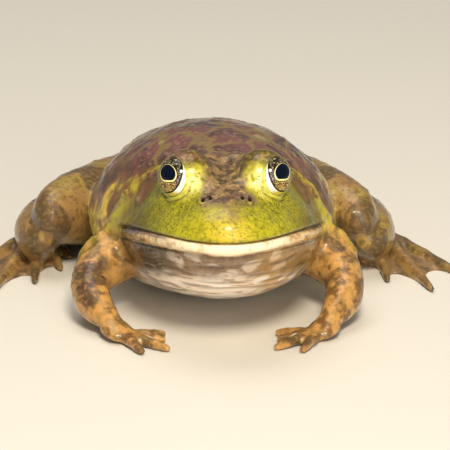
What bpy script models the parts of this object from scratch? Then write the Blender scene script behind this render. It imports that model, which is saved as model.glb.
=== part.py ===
"""A sitting bullfrog as a still, life-size model, parted into its head, jaw, trunk, eyes, ears and legs.

Lengths below are in millimetres. A point is (across, behind the snout tip, up): the frog looks along -Y and
stands on the plane z = 0. MM turns lengths into metres where a mesh is made.
"""

from math import acos, cos, hypot, pi, radians, sin

import bmesh
import bpy
import numpy as np
from mathutils import Matrix, Vector

MM = 0.001
SIDES = {"left": 1, "right": -1}   # the frog's own left is at +X
GAP = 0.35                 # air left between two pieces
TRIM = 0.45                # how much a piece is swollen when it trims its neighbour
FUSE_VOXEL = 0.5           # detail kept where fingers or toes grow together
HAND_FACES = 420
FOOT_FACES = 560

# Head and trunk, from snout tip to vent
BODY_LENGTH = 151.0
BODY_RINGS = 36
BODY_SIDES = 28
MOUTH_HEIGHT = 37.0        # mouth line at the snout tip
MOUTH_DROP = 9.4           # how far it falls to the corner
MOUTH_CURVE = 1.54
MOUTH_CORNER = 46.0        # corner's distance behind the snout tip
SPINE_BEND = 2.4           # the trunk leans this far to -X of the head
SPINE_RUN = (40.0, 80.0)   # the lean comes in between these places
SIDE_SQUARE = (0.86, 0.9)  # under 1 makes the lower half of a section fuller
NECK_CENTRE = (0.0, 51.0, 28.0)
NECK_FACING = (0.0, 46.0, -14.0)   # the neck cut leans back from the throat up
NECK_RADIUS = 80.0
MOUTH_CUT = {"front": -6.0, "back": 50.6, "half_width": 48.0, "steps": 12}

# behind tip: half width, widest height, top, bottom, steepness of the roof
BODY_STATIONS = [
    (0.0, 0.0, 37.0, 38.0, 36.0, 1.0),
    (1.0, 5.6, 37.0, 41.4, 33.4, 1.0),
    (3.0, 9.6, 36.9, 43.4, 31.4, 1.15),
    (10.0, 16.4, 36.1, 46.2, 24.8, 1.4),
    (20.0, 22.2, 34.3, 49.0, 16.4, 1.7),
    (32.0, 26.8, 31.7, 51.4, 10.4, 1.8),
    (46.0, 29.3, 27.6, 52.6, 5.8, 1.6),
    (56.0, 33.2, 25.6, 52.8, 2.6, 1.3),
    (68.0, 36.4, 23.6, 52.2, 0.2, 1.15),
    (88.0, 35.6, 20.6, 48.2, -0.7, 1.1),
    (108.0, 30.0, 18.0, 41.4, -0.7, 1.0),
    (128.0, 21.0, 16.0, 31.4, 0.8, 1.0),
    (144.0, 11.5, 14.6, 22.0, 6.0, 1.0),
    (BODY_LENGTH, 0.0, 14.8, 15.4, 14.2, 1.0),
]

# Eyes
EYE_RADIUS = 6.4
EYE_CENTRE = (12.75, 26.0, 49.0)
GAZE_OUT = radians(48)
GAZE_UP = radians(20)
LID_OPENING = radians(59)  # angle from the gaze to the rim of the lids
LID_DEPTH = 3.0            # the swelling's centre lies this far behind the eye's
BROW_CENTRE = (10.5, 29.0)  # the head rises in a soft mound under each swelling
BROW_RISE = 3.4
BROW_WIDTH = 6.0

# Ears and nostrils
TYMPANUM_RADIUS = 5.6
TYMPANUM_CENTRE = (21.5, 42.0, 39.5)
TYMPANUM_FACING = (0.80, -0.12, 0.58)
TYMPANUM_RECESS = 1.4
TYMPANUM_REACH = 12.0      # the punch that cuts the disc stands out this far
NOSTRIL_CENTRE = (5.6, 13.0, 46.4)
NOSTRIL_FACING = (0.6, -0.4, 0.75)
NOSTRIL_RADIUS = 0.8
NOSTRIL_DEPTH = 2.5

# Limbs on the +X side: (across, behind tip, up, half breadth, half height, share of the side's spread)
ARM_SPREAD = {"left": (0.0, 0.0), "right": (3.0, 0.0)}   # how far the elbow is moved out and back
ARM_STATIONS = [
    (20.0, 61.0, 19.5, 8.6, 9.4, 0.0),
    (29.0, 55.0, 16.5, 7.6, 8.4, 0.4),
    (35.6, 45.0, 11.2, 5.8, 6.6, 1.0),
    (35.0, 36.5, 8.0, 5.4, 5.8, 1.0),
    (31.0, 28.5, 4.8, 3.9, 3.6, 0.8),
    (29.0, 25.0, 3.4, 3.8, 2.8, 0.8),
]
ELBOW_RING = 2             # the station that the elbow cut goes through
WRIST_RING = 4
ARM_CUT_RADIUS = 11.0
WRIST_CUT = {"radius": 14.0, "thickness": 20.0}
PALM_STATIONS = [
    (31.5, 29.5, 4.0, 3.6, 3.0, 0.8),
    (28.5, 24.5, 2.8, 4.6, 2.4, 0.8),
    (25.5, 21.5, 1.8, 4.4, 1.8, 0.8),
]
FINGER_ROOT = (27.0, 23.0, 1.5, 0.8)
FINGER_LENGTHS = (13.0, 12.5, 16.5, 13.5)
FINGER_HEADINGS = (164, 190, 216, 246)   # degrees from +X, so 180 is inwards and 270 is forwards
FINGER_RADII = (1.9, 1.15)

LEG_SPREAD = {"left": (0.0, 0.0), "right": (8.0, 4.0)}
THIGH_STATIONS = [
    (13.0, 138.0, 13.5, 10.0, 10.5, 0.0),
    (22.0, 122.0, 14.5, 12.0, 12.4, 0.3),
    (32.5, 101.0, 16.2, 11.0, 12.2, 0.7),
    (41.0, 84.0, 18.0, 8.4, 9.6, 1.0),
    (44.0, 75.5, 18.0, 6.8, 7.8, 1.0),
]
SHANK_STATIONS = [
    (44.0, 77.0, 12.6, 6.0, 6.6, 1.0),
    (47.2, 90.0, 10.0, 7.0, 8.4, 0.95),
    (45.6, 108.0, 8.8, 7.2, 8.4, 0.75),
    (38.0, 129.0, 8.0, 6.0, 6.8, 0.4),
    (29.5, 146.0, 6.6, 5.0, 5.8, 0.2),
]
TARSUS_STATIONS = [
    (30.5, 148.0, 5.2, 4.6, 5.0, 0.2),
    (37.0, 139.5, 4.6, 4.4, 4.4, 0.3),
    (46.0, 126.0, 3.9, 4.2, 3.8, 0.5),
    (50.5, 116.0, 3.2, 4.6, 3.0, 0.6),
]
TOE_ROOT = (50.0, 118.0, 2.0, 0.6)
TOE_LENGTHS = (25.0, 35.0, 46.0, 57.0, 47.0)
TOE_HEADINGS = (246, 258, 271, 284, 300)
TOE_RADII = (2.5, 1.1)
THIGH_LOFT = {"sides": 16, "count": 14, "blunt": 6.0}
SHANK_LOFT = {"sides": 14, "count": 13, "blunt": 8.0}
TARSUS_LOFT = {"sides": 12, "count": 11, "blunt": 7.0}
WEB_REACH = 0.86           # share of a toe's length that the web covers
WEB_HOLLOW = 0.72          # how far out the web's edge dips between two toes
WEB_HEIGHTS = (0.3, 1.3)
WEB_HEEL = [(-1.5, 2.0), (2.5, 2.0)]   # the web's two corners at the root of the toes
DIGIT_SHARES = (0.0, 0.35, 0.7, 1.0)
DIGIT_ARCH = 0.5           # how far a finger or toe rises between its root and its tip
DIGIT_TIP_HEIGHT = 1.0
FLOOR_BOX = ((-120.0, -60.0, -40.0), (120.0, 220.0, 0.0))

ARM_COLOUR = (0.50, 0.30, 0.06)
LEG_COLOUR = (0.40, 0.22, 0.09)
COLOURS = {
    "head": (0.36, 0.37, 0.03), "lower_jaw": (0.72, 0.60, 0.42), "trunk": (0.22, 0.17, 0.06),
    "eye": (0.02, 0.02, 0.03), "tympanum": (0.25, 0.17, 0.05),
    "upper_arm": ARM_COLOUR, "forearm": ARM_COLOUR, "hand": ARM_COLOUR,
    "thigh": LEG_COLOUR, "shank": LEG_COLOUR, "tarsus": LEG_COLOUR, "foot": LEG_COLOUR,
}
SKIN_ROUGHNESS = 0.38
EYE_ROUGHNESS = 0.08


def clear_scene():
    for obj in list(bpy.data.objects):
        bpy.data.objects.remove(obj, do_unlink=True)


def new_collection(name):
    collection = bpy.data.collections.new(name)
    bpy.context.scene.collection.children.link(collection)
    return collection


def read_stations(stations, places, at):
    """A smooth curve through the stations' values, read at a place."""
    rows = np.array(stations, float)
    places = np.array(places, float)
    i = int(np.clip(np.searchsorted(places, at, side="right") - 1, 0, len(places) - 2))
    step = places[i + 1] - places[i]
    share = (at - places[i]) / step
    slopes = np.gradient(rows, places, axis=0)
    return (
        (1 + 2 * share) * (1 - share) ** 2 * rows[i]
        + share * (1 - share) ** 2 * step * slopes[i]
        + share ** 2 * (3 - 2 * share) * rows[i + 1]
        + share ** 2 * (share - 1) * step * slopes[i + 1]
    )


def loft(name, rings):
    """A closed skin over a row of rings; the first and the last ring close to a point."""
    bm = bmesh.new()
    rows = [[bm.verts.new(Vector(point) * MM) for point in ring] for ring in rings[1:-1]]
    sides = len(rows[0])
    for lower, upper in zip(rows, rows[1:]):
        for i in range(sides):
            j = (i + 1) % sides
            bm.faces.new((lower[i], lower[j], upper[j], upper[i]))
    for ring, row in ((rings[0], rows[0]), (rings[-1], rows[-1])):
        tip = bm.verts.new(Vector(np.mean(ring, axis=0)) * MM)
        for i in range(sides):
            bm.faces.new((tip, row[i], row[(i + 1) % sides]))
    bmesh.ops.recalc_face_normals(bm, faces=bm.faces)
    return mesh_object(name, bm)


def mesh_object(name, bm):
    mesh = bpy.data.meshes.new(name)
    bm.to_mesh(mesh)
    bm.free()
    obj = bpy.data.objects.new(name, mesh)
    bpy.context.scene.collection.objects.link(obj)
    return obj


def apply_modifier(obj, modifier):
    bpy.context.view_layer.objects.active = obj
    bpy.ops.object.modifier_apply(modifier=modifier.name)


def boolean(obj, tool, operation, keep_tool=False):
    modifier = obj.modifiers.new(operation.lower(), "BOOLEAN")
    modifier.operation = operation
    modifier.object = tool
    apply_modifier(obj, modifier)
    if not keep_tool:
        bpy.data.objects.remove(tool, do_unlink=True)


def copy_of(obj, name):
    twin = obj.copy()
    twin.data = obj.data.copy()
    twin.name = name
    bpy.context.scene.collection.objects.link(twin)
    return twin


def loose_pieces(obj):
    """The object's separate bodies as lists of vertex indices, the largest first."""
    bm = bmesh.new()
    bm.from_mesh(obj.data)
    left = set(bm.verts)
    found = []
    while left:
        edge = [left.pop()]
        body = set(edge)
        while edge:
            near = {e.other_vert(v) for v in edge for e in v.link_edges} & left
            left -= near
            body |= near
            edge = list(near)
        found.append(sorted(v.index for v in body))
    bm.free()
    return sorted(found, key=len, reverse=True)


def keep_body(obj, indices):
    wanted = set(indices)
    bm = bmesh.new()
    bm.from_mesh(obj.data)
    bmesh.ops.delete(bm, geom=[v for v in bm.verts if v.index not in wanted], context="VERTS")
    bm.to_mesh(obj.data)
    bm.free()


def fused(name, pieces, faces):
    """Overlapping pieces made one fine skin, thinned to about so many triangles."""
    bm = bmesh.new()
    for piece in pieces:
        bm.from_mesh(piece.data)
        bpy.data.objects.remove(piece, do_unlink=True)
    obj = mesh_object(name, bm)
    remesh = obj.modifiers.new("remesh", "REMESH")
    remesh.mode = "VOXEL"
    remesh.voxel_size = FUSE_VOXEL * MM
    apply_modifier(obj, remesh)
    thin = obj.modifiers.new("thin", "DECIMATE")
    thin.ratio = faces / (2 * len(obj.data.polygons))
    apply_modifier(obj, thin)
    keep_body(obj, loose_pieces(obj)[0])
    return obj


def split_in_two(obj, first, second):
    """Names the object's front or upper body and gives the other one an object of its own."""
    bodies = loose_pieces(obj)[:2]
    other = copy_of(obj, second)
    obj.name = first
    points = np.array([v.co for v in obj.data.vertices])
    heights = [np.mean(points[body, 2] - points[body, 1]) for body in bodies]
    if heights[0] < heights[1]:
        bodies.reverse()
    keep_body(obj, bodies[0])
    keep_body(other, bodies[1])
    return obj, other


def box_object(name, low, high):
    size = Vector(high) - Vector(low)
    bm = bmesh.new()
    bmesh.ops.create_cube(bm, size=1.0, matrix=Matrix.Diagonal((*size, 1.0)))
    bmesh.ops.translate(bm, verts=bm.verts, vec=(Vector(low) + Vector(high)) / 2)
    bmesh.ops.scale(bm, verts=bm.verts, vec=(MM, MM, MM))
    return mesh_object(name, bm)


def disc_object(name, centre, facing, radius, thickness, sides=28):
    turn = Vector(facing).to_track_quat("Z", "Y").to_matrix().to_4x4()
    bm = bmesh.new()
    bmesh.ops.create_cone(
        bm, cap_ends=True, segments=sides, radius1=radius * MM, radius2=radius * MM, depth=thickness * MM,
        matrix=Matrix.Translation(Vector(centre) * MM) @ turn,
    )
    return mesh_object(name, bm)


def ball_object(name, centre, radius, across=16, up=10):
    place = Matrix.Translation(Vector(centre) * MM)
    bm = bmesh.new()
    bmesh.ops.create_uvsphere(bm, u_segments=across, v_segments=up, radius=radius * MM, matrix=place)
    return mesh_object(name, bm)


def mouth_line(behind):
    return MOUTH_HEIGHT - MOUTH_DROP * (max(behind, 0.0) / MOUTH_CORNER) ** MOUTH_CURVE


def spine_shift(behind):
    share = np.clip((behind - SPINE_RUN[0]) / (SPINE_RUN[1] - SPINE_RUN[0]), 0.0, 1.0)
    return -SPINE_BEND * share * share * (3 - 2 * share)


def body_loft(name, grow=0.0):
    """Head and trunk in one skin: the mouth runs along the widest line of its front third."""
    def place(behind):
        return acos(1 - 2 * behind / BODY_LENGTH)

    places = [place(row[0]) for row in BODY_STATIONS]
    angles = np.linspace(0, 2 * pi, BODY_SIDES, endpoint=False)
    rings = []
    for turn in np.linspace(0, pi, BODY_RINGS):
        behind, half, wide, top, bottom, roof = read_stations(BODY_STATIONS, places, turn)
        behind = (1 - cos(turn)) / 2 * BODY_LENGTH
        c, s = np.cos(angles), np.sin(angles)
        across = np.sign(c) * np.abs(c) ** np.where(s > 0, 1.0, SIDE_SQUARE[0]) * (half + grow)
        height = np.where(
            s > 0,
            (top + grow - wide) * np.abs(s) ** roof,
            -(wide - bottom + grow) * np.abs(s) ** SIDE_SQUARE[1],
        )
        off = np.hypot(np.abs(across) - BROW_CENTRE[0], behind - BROW_CENTRE[1])
        mound = np.exp(-((off / BROW_WIDTH) ** 2) / 2)
        height += np.where(s > 0, BROW_RISE * mound * s, 0.0)
        behind += -grow * cos(turn)
        ring = [across + spine_shift(behind), np.full_like(c, behind), wide + height]
        rings.append(np.stack(ring, axis=1))
    return loft(name, rings)


def tube_loft(name, stations, sides=14, count=14, grow=0.0, blunt=9.0):
    """A limb: oval rings square to a smooth path through the stations, round at both ends."""
    rows = np.array(stations, float)
    runs = np.concatenate([[0], np.cumsum(np.linalg.norm(np.diff(rows[:, :3], axis=0), axis=1))])
    angles = np.linspace(0, 2 * pi, sides, endpoint=False)
    rings = []
    for turn in np.linspace(0, pi, count):
        along = (1 - cos(turn)) / 2
        at = along * runs[-1]
        here = read_stations(rows, runs, at)
        ahead = read_stations(rows, runs, at + 0.5)[:3] - read_stations(rows, runs, at - 0.5)[:3]
        ahead /= np.linalg.norm(ahead)
        side = np.cross(ahead, (0, 0, 1))
        side /= np.linalg.norm(side)
        up = np.cross(side, ahead)
        full = (1 - abs(2 * along - 1) ** blunt) ** 0.5
        centre = here[:3] - ahead * grow * cos(turn)
        breadth, height = (here[3:5] + grow) * full
        ring = np.outer(np.cos(angles), side * breadth) + np.outer(np.sin(angles), up * height)
        rings.append(centre + ring)
    return loft(name, rings)


def on_side(point, side):
    return Vector((SIDES[side] * point[0], point[1], point[2]))


def limb_stations(stations, side, spreads):
    """The stations of one side's limb: a row's last value says how much of the spread moves it."""
    out, back = spreads[side]
    return [
        (SIDES[side] * (row[0] + out * row[-1]), row[1] + back * row[-1], *row[2:-1]) for row in stations
    ]


def make_mouth_cutter():
    """A thin sheet along the mouth line, from in front of the lips to just behind the corners."""
    bm = bmesh.new()
    rows = []
    for behind in np.linspace(MOUTH_CUT["front"], MOUTH_CUT["back"], MOUTH_CUT["steps"]):
        height = mouth_line(behind)
        ends = (-MOUTH_CUT["half_width"], MOUTH_CUT["half_width"])
        rows.append([bm.verts.new(Vector((x, behind, height)) * MM) for x in ends])
    for near, far in zip(rows, rows[1:]):
        bm.faces.new((near[0], near[1], far[1], far[0]))
    sheet = mesh_object("mouth_cut", bm)
    thick = sheet.modifiers.new("thickness", "SOLIDIFY")
    thick.thickness = GAP * MM
    thick.offset = 0.0
    apply_modifier(sheet, thick)
    return sheet


def eye_points(side):
    """Eyeball centre, gaze and the centre of the swelling that carries the lids."""
    centre = on_side(EYE_CENTRE, side)
    gaze = on_side((sin(GAZE_OUT) * cos(GAZE_UP), -cos(GAZE_OUT) * cos(GAZE_UP), sin(GAZE_UP)), side)
    return centre, gaze, centre - gaze * LID_DEPTH


def make_head_and_trunk():
    body = body_loft("body")
    neck = disc_object("neck_cut", NECK_CENTRE, NECK_FACING, NECK_RADIUS, GAP)
    boolean(body, neck, "DIFFERENCE")
    front, trunk = split_in_two(body, "head", "trunk")
    boolean(front, make_mouth_cutter(), "DIFFERENCE")
    head, jaw = split_in_two(front, "head", "lower_jaw")
    lid_radius = hypot(EYE_RADIUS * cos(LID_OPENING) + LID_DEPTH, EYE_RADIUS * sin(LID_OPENING))
    for side in SIDES:
        boolean(head, ball_object("lids", eye_points(side)[2], lid_radius), "UNION")
    for side in SIDES:
        boolean(head, ball_object("socket", eye_points(side)[0], EYE_RADIUS + GAP), "DIFFERENCE")
    return head, jaw, trunk


def make_eye(side):
    return ball_object("eye_" + side, eye_points(side)[0], EYE_RADIUS)


def make_tympanum(side, head):
    """A round disc of the head's own surface, set in a shallow recess."""
    centre = on_side(TYMPANUM_CENTRE, side)
    facing = on_side(TYMPANUM_FACING, side).normalized()
    disc = copy_of(head, "tympanum_" + side)
    recessed = centre + facing * (TYMPANUM_REACH / 2 - TYMPANUM_RECESS)
    ear = disc_object("ear", recessed + facing * GAP, facing, TYMPANUM_RADIUS, TYMPANUM_REACH)
    boolean(disc, ear, "INTERSECT")
    recess = disc_object("recess", recessed, facing, TYMPANUM_RADIUS + GAP, TYMPANUM_REACH)
    boolean(head, recess, "DIFFERENCE")
    return disc


def cut_nostrils(head):
    for side in SIDES:
        centre, facing = on_side(NOSTRIL_CENTRE, side), on_side(NOSTRIL_FACING, side)
        pit = disc_object("nostril", centre, facing, NOSTRIL_RADIUS, NOSTRIL_DEPTH, sides=10)
        boolean(head, pit, "DIFFERENCE")


def digit_stations(root, length, heading, radii, side):
    """Stations of a finger or toe that lies on the floor, a little arched behind its tip."""
    turn = radians(heading)
    rows = []
    for share in DIGIT_SHARES:
        radius = radii[0] + (radii[1] - radii[0]) * share
        height = root[2] + (DIGIT_TIP_HEIGHT - root[2]) * share + DIGIT_ARCH * sin(pi * share)
        across = root[0] + SIDES[side] * cos(turn) * length * share
        rows.append((across, root[1] + sin(turn) * length * share, height, radius, radius))
    return rows


def make_arm(side):
    """Upper arm, forearm and hand: one limb, cut at the elbow and the wrist."""
    rows = limb_stations(ARM_STATIONS, side, ARM_SPREAD)
    root = limb_stations([FINGER_ROOT], side, ARM_SPREAD)[0]
    arm = tube_loft("arm", rows, sides=14, count=14)
    boolean(arm, body_loft("trim", TRIM), "DIFFERENCE")
    keep_body(arm, loose_pieces(arm)[0])
    for ring in (ELBOW_RING, WRIST_RING):
        ahead = Vector(rows[ring + 1][:3]) - Vector(rows[ring - 1][:3])
        boolean(arm, disc_object("cut", rows[ring][:3], ahead, ARM_CUT_RADIUS, GAP), "DIFFERENCE")
    bodies = sorted(loose_pieces(arm)[:3], key=lambda body: -body_reach(arm, body))
    parts = []
    for name, body in zip(("upper_arm_", "forearm_"), bodies):
        piece = copy_of(arm, name + side)
        keep_body(piece, body)
        parts.append(piece)
    bpy.data.objects.remove(arm, do_unlink=True)
    palm = limb_stations(PALM_STATIONS, side, ARM_SPREAD)
    pieces = [
        tube_loft("wrist", rows[WRIST_RING - 1:], count=9),
        tube_loft("palm", palm, count=9, blunt=5.0),
    ]
    for length, heading in zip(FINGER_LENGTHS, FINGER_HEADINGS):
        stations = digit_stations(root, length, heading, FINGER_RADII, side)
        pieces.append(tube_loft("finger", stations, sides=10, count=12, blunt=14.0))
    hand = fused("hand_" + side, pieces, HAND_FACES)
    ahead = (Vector(rows[WRIST_RING + 1][:3]) - Vector(rows[WRIST_RING - 1][:3])).normalized()
    behind_wrist = Vector(rows[WRIST_RING][:3]) - ahead * (WRIST_CUT["thickness"] - GAP) / 2
    boolean(hand, disc_object("cut", behind_wrist, ahead, **WRIST_CUT), "DIFFERENCE")
    return [(parts[0], rows[0][:3]), (parts[1], rows[ELBOW_RING][:3]), (hand, root)]


def body_reach(obj, indices):
    """How far back a body lies, which puts the pieces of a forward-reaching arm in order."""
    return float(np.mean([obj.data.vertices[i].co.y for i in indices]))


def make_web(side):
    """The web as one flat outline that dips between the toes, as thick as WEB_HEIGHTS says."""
    root = limb_stations([TOE_ROOT], side, LEG_SPREAD)[0]
    tips = []
    for i, (length, heading) in enumerate(zip(TOE_LENGTHS, TOE_HEADINGS)):
        if i:
            between = radians((heading + TOE_HEADINGS[i - 1]) / 2)
            dip = min(length, TOE_LENGTHS[i - 1]) * WEB_HOLLOW
            tips.append((cos(between) * dip, sin(between) * dip))
        turn = radians(heading)
        tips.append((cos(turn) * length * WEB_REACH, sin(turn) * length * WEB_REACH))
    outline = [WEB_HEEL[0], *tips, WEB_HEEL[1]]
    curve = bpy.data.curves.new("web", "CURVE")
    curve.dimensions = "2D"
    curve.fill_mode = "BOTH"
    curve.extrude = (WEB_HEIGHTS[1] - WEB_HEIGHTS[0]) / 2 * MM
    spline = curve.splines.new("POLY")
    spline.points.add(len(outline) - 1)
    for point, (x, y) in zip(spline.points, outline):
        point.co = ((root[0] + SIDES[side] * x) * MM, (root[1] + y) * MM, 0.0, 1.0)
    spline.use_cyclic_u = True
    guide = bpy.data.objects.new("web", curve)
    guide.location.z = sum(WEB_HEIGHTS) / 2 * MM
    bpy.context.scene.collection.objects.link(guide)
    bpy.context.view_layer.update()
    bm = bmesh.new()
    filled = guide.evaluated_get(bpy.context.evaluated_depsgraph_get())
    bm.from_mesh(bpy.data.meshes.new_from_object(filled))
    bmesh.ops.transform(bm, matrix=guide.matrix_world, verts=bm.verts)
    bmesh.ops.remove_doubles(bm, verts=bm.verts, dist=1e-6)
    bmesh.ops.recalc_face_normals(bm, faces=bm.faces)
    bpy.data.objects.remove(guide, do_unlink=True)
    return mesh_object("web", bm)


def make_leg(side):
    """Thigh, shank, tarsus and webbed foot, folded, each trimmed by the ones before it."""
    thigh_rows = limb_stations(THIGH_STATIONS, side, LEG_SPREAD)
    shank_rows = limb_stations(SHANK_STATIONS, side, LEG_SPREAD)
    tarsus_rows = limb_stations(TARSUS_STATIONS, side, LEG_SPREAD)
    root = limb_stations([TOE_ROOT], side, LEG_SPREAD)[0]
    thigh = tube_loft("thigh_" + side, thigh_rows, **THIGH_LOFT)
    boolean(thigh, body_loft("trim", TRIM), "DIFFERENCE")
    shank = tube_loft("shank_" + side, shank_rows, **SHANK_LOFT)
    boolean(shank, tube_loft("trim", thigh_rows, grow=TRIM, **THIGH_LOFT), "DIFFERENCE")
    boolean(shank, body_loft("trim", TRIM), "DIFFERENCE")
    tarsus = tube_loft("tarsus_" + side, tarsus_rows, **TARSUS_LOFT)
    boolean(tarsus, tube_loft("trim", shank_rows, grow=TRIM, **SHANK_LOFT), "DIFFERENCE")
    toes = [make_web(side)]
    for length, heading in zip(TOE_LENGTHS, TOE_HEADINGS):
        stations = digit_stations(root, length, heading, TOE_RADII, side)
        toes.append(tube_loft("toe", stations, sides=10, count=14, blunt=16.0))
    foot = fused("foot_" + side, toes, FOOT_FACES)
    boolean(foot, tube_loft("trim", tarsus_rows, grow=TRIM, **TARSUS_LOFT), "DIFFERENCE")
    boolean(foot, tube_loft("trim", shank_rows, grow=TRIM, **SHANK_LOFT), "DIFFERENCE")
    pieces = [
        (thigh, thigh_rows[0][:3]), (shank, shank_rows[0][:3]), (tarsus, tarsus_rows[0][:3]), (foot, root),
    ]
    for piece, _ in pieces:
        keep_body(piece, loose_pieces(piece)[0])
    return pieces


def set_origin(obj, point):
    """Moves the object's origin to a point in world space without moving its surface."""
    at = Vector(point) * MM
    obj.data.transform(Matrix.Translation(-at))
    obj.location = at


def paint(obj):
    kind = obj.name.removesuffix("_left").removesuffix("_right")
    material = bpy.data.materials.new(obj.name)
    material.use_nodes = True
    shader = material.node_tree.nodes["Principled BSDF"]
    shader.inputs["Base Color"].default_value = (*COLOURS[kind], 1.0)
    shader.inputs["Roughness"].default_value = EYE_ROUGHNESS if kind == "eye" else SKIN_ROUGHNESS
    shader.inputs["Metallic"].default_value = 0.0
    obj.data.materials.clear()
    obj.data.materials.append(material)


def main():
    clear_scene()
    parts = new_collection("bullfrog")
    cutters = new_collection("cutters")
    cutters.hide_render = True
    head, jaw, trunk = make_head_and_trunk()
    placed = [(head, NECK_CENTRE), (jaw, (0, MOUTH_CORNER, mouth_line(MOUTH_CORNER))), (trunk, NECK_CENTRE)]
    for side in SIDES:
        placed.append((make_eye(side), eye_points(side)[0]))
        placed.append((make_tympanum(side, head), on_side(TYMPANUM_CENTRE, side)))
    cut_nostrils(head)
    for side in SIDES:
        placed += make_arm(side)
        placed += make_leg(side)
    floor = box_object("below_floor", *FLOOR_BOX)
    cutters.objects.link(floor)
    bpy.context.scene.collection.objects.unlink(floor)
    floor.display_type = "WIRE"
    floor.hide_render = True
    for obj, _ in placed:
        if min(v.co.z for v in obj.data.vertices) < 0:
            boolean(obj, floor, "DIFFERENCE", keep_tool=True)
    corners = np.array([v.co for obj, _ in placed for v in obj.data.vertices])
    low, high = corners.min(axis=0), corners.max(axis=0)
    middle = bpy.data.objects.new("floor_centre", None)
    middle.location = (-(low[0] + high[0]) / 2, -(low[1] + high[1]) / 2, 0.0)
    parts.objects.link(middle)
    for obj, origin in placed:
        bpy.context.scene.collection.objects.unlink(obj)
        parts.objects.link(obj)
        set_origin(obj, origin)
        obj.parent = middle
        paint(obj)
        obj.data.shade_smooth()


main()
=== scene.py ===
from math import acos, cos, hypot, pi, radians, sin

import bpy
import bmesh
import numpy as np
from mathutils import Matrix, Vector, noise


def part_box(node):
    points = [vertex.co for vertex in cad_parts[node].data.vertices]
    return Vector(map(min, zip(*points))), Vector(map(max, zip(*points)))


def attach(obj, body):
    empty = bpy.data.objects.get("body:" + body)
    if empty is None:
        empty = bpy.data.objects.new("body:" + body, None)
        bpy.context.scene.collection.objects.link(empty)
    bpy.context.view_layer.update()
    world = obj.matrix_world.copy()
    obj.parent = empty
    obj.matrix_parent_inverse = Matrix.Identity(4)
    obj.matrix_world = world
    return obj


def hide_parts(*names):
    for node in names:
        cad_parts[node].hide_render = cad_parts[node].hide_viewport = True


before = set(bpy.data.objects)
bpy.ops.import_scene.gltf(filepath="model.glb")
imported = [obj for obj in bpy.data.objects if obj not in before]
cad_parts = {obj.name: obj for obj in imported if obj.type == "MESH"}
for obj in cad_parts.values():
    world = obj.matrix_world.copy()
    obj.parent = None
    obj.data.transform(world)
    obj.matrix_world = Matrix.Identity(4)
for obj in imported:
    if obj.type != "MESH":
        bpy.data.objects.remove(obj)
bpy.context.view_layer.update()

# Lengths are in millimetres in the frog's own axes: (across, behind the snout tip, up).
# Its left side is +x and it looks along -y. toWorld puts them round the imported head.
mm = 0.001
eyeBoxes = [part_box("eye_left"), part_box("eye_right")]
midX = sum(corner.x for box in eyeBoxes for corner in box) / 4   # the plane between the eyes
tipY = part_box("head")[0].y                                      # the snout tip
print("frame loaded, head middle", round(midX / mm, 2), "snout tip", round(tipY / mm, 2))


def toWorld(points):
    return np.asarray(points, float) * mm + (midX, tipY, 0.0)


def ramp(low, high, value):
    t = np.clip((value - low) / (high - low), 0.0, 1.0)
    return t * t * (3 - 2 * t)


def bell(off, width):
    return np.exp(-((off / width) ** 2))


def onSide(place, side):
    # a place given for the frog's left, on its left (1) or right (-1)
    return np.array((side * place[0], *place[1:]))


def partWay(ends, share):
    return ends[0] + (ends[1] - ends[0]) * share


body = {
    "length": 151.0,
    "rings": 150,
    "sides": 140,
    "lean": 2.4,                # the trunk leans this far to its right of the head
    "leanRun": (40.0, 80.0),
    "sideSquare": (0.86, 0.9),  # under 1 makes the lower half of a section fuller
    # behind tip: half width, widest height, top, bottom, steepness of the roof
    "stations": [
        (0.0, 0.0, 37.0, 38.0, 36.0, 1.0),
        (1.0, 5.6, 37.0, 41.4, 33.4, 1.0),
        (3.0, 9.6, 36.9, 43.4, 31.4, 1.15),
        (10.0, 16.4, 36.1, 46.2, 24.8, 1.4),
        (20.0, 22.2, 34.3, 49.0, 16.4, 1.7),
        (32.0, 26.8, 31.7, 51.4, 10.4, 1.8),
        (46.0, 29.3, 27.6, 52.6, 5.8, 1.6),
        (56.0, 33.2, 25.6, 52.8, 2.6, 1.3),
        (68.0, 36.4, 23.6, 52.2, 0.2, 1.15),
        (88.0, 35.6, 20.6, 48.2, -0.7, 1.1),
        (108.0, 30.0, 18.0, 41.4, -0.7, 1.0),
        (128.0, 21.0, 16.0, 31.4, 0.8, 1.0),
        (144.0, 11.5, 14.6, 22.0, 6.0, 1.0),
        (151.0, 0.0, 14.8, 15.4, 14.2, 1.0),
    ],
    "browCentre": (10.5, 29.0),
    "browRise": 3.4,
    "browWidth": 6.0,
}

mouth = {"tipHeight": 37.0, "drop": 9.4, "curve": 1.54, "corner": 46.0}

eye = {
    "radius": 6.4,
    "centre": (12.75, 26.0, 49.0),
    "gazeOut": radians(48),
    "gazeUp": radians(20),
    "opening": 59.0,    # degrees from the gaze to the rim of the lids
    "lidDepth": 3.0,    # the swelling's centre lies this far behind the eye's
    "grid": (96, 64),   # points round and along the eyeball
}

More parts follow.
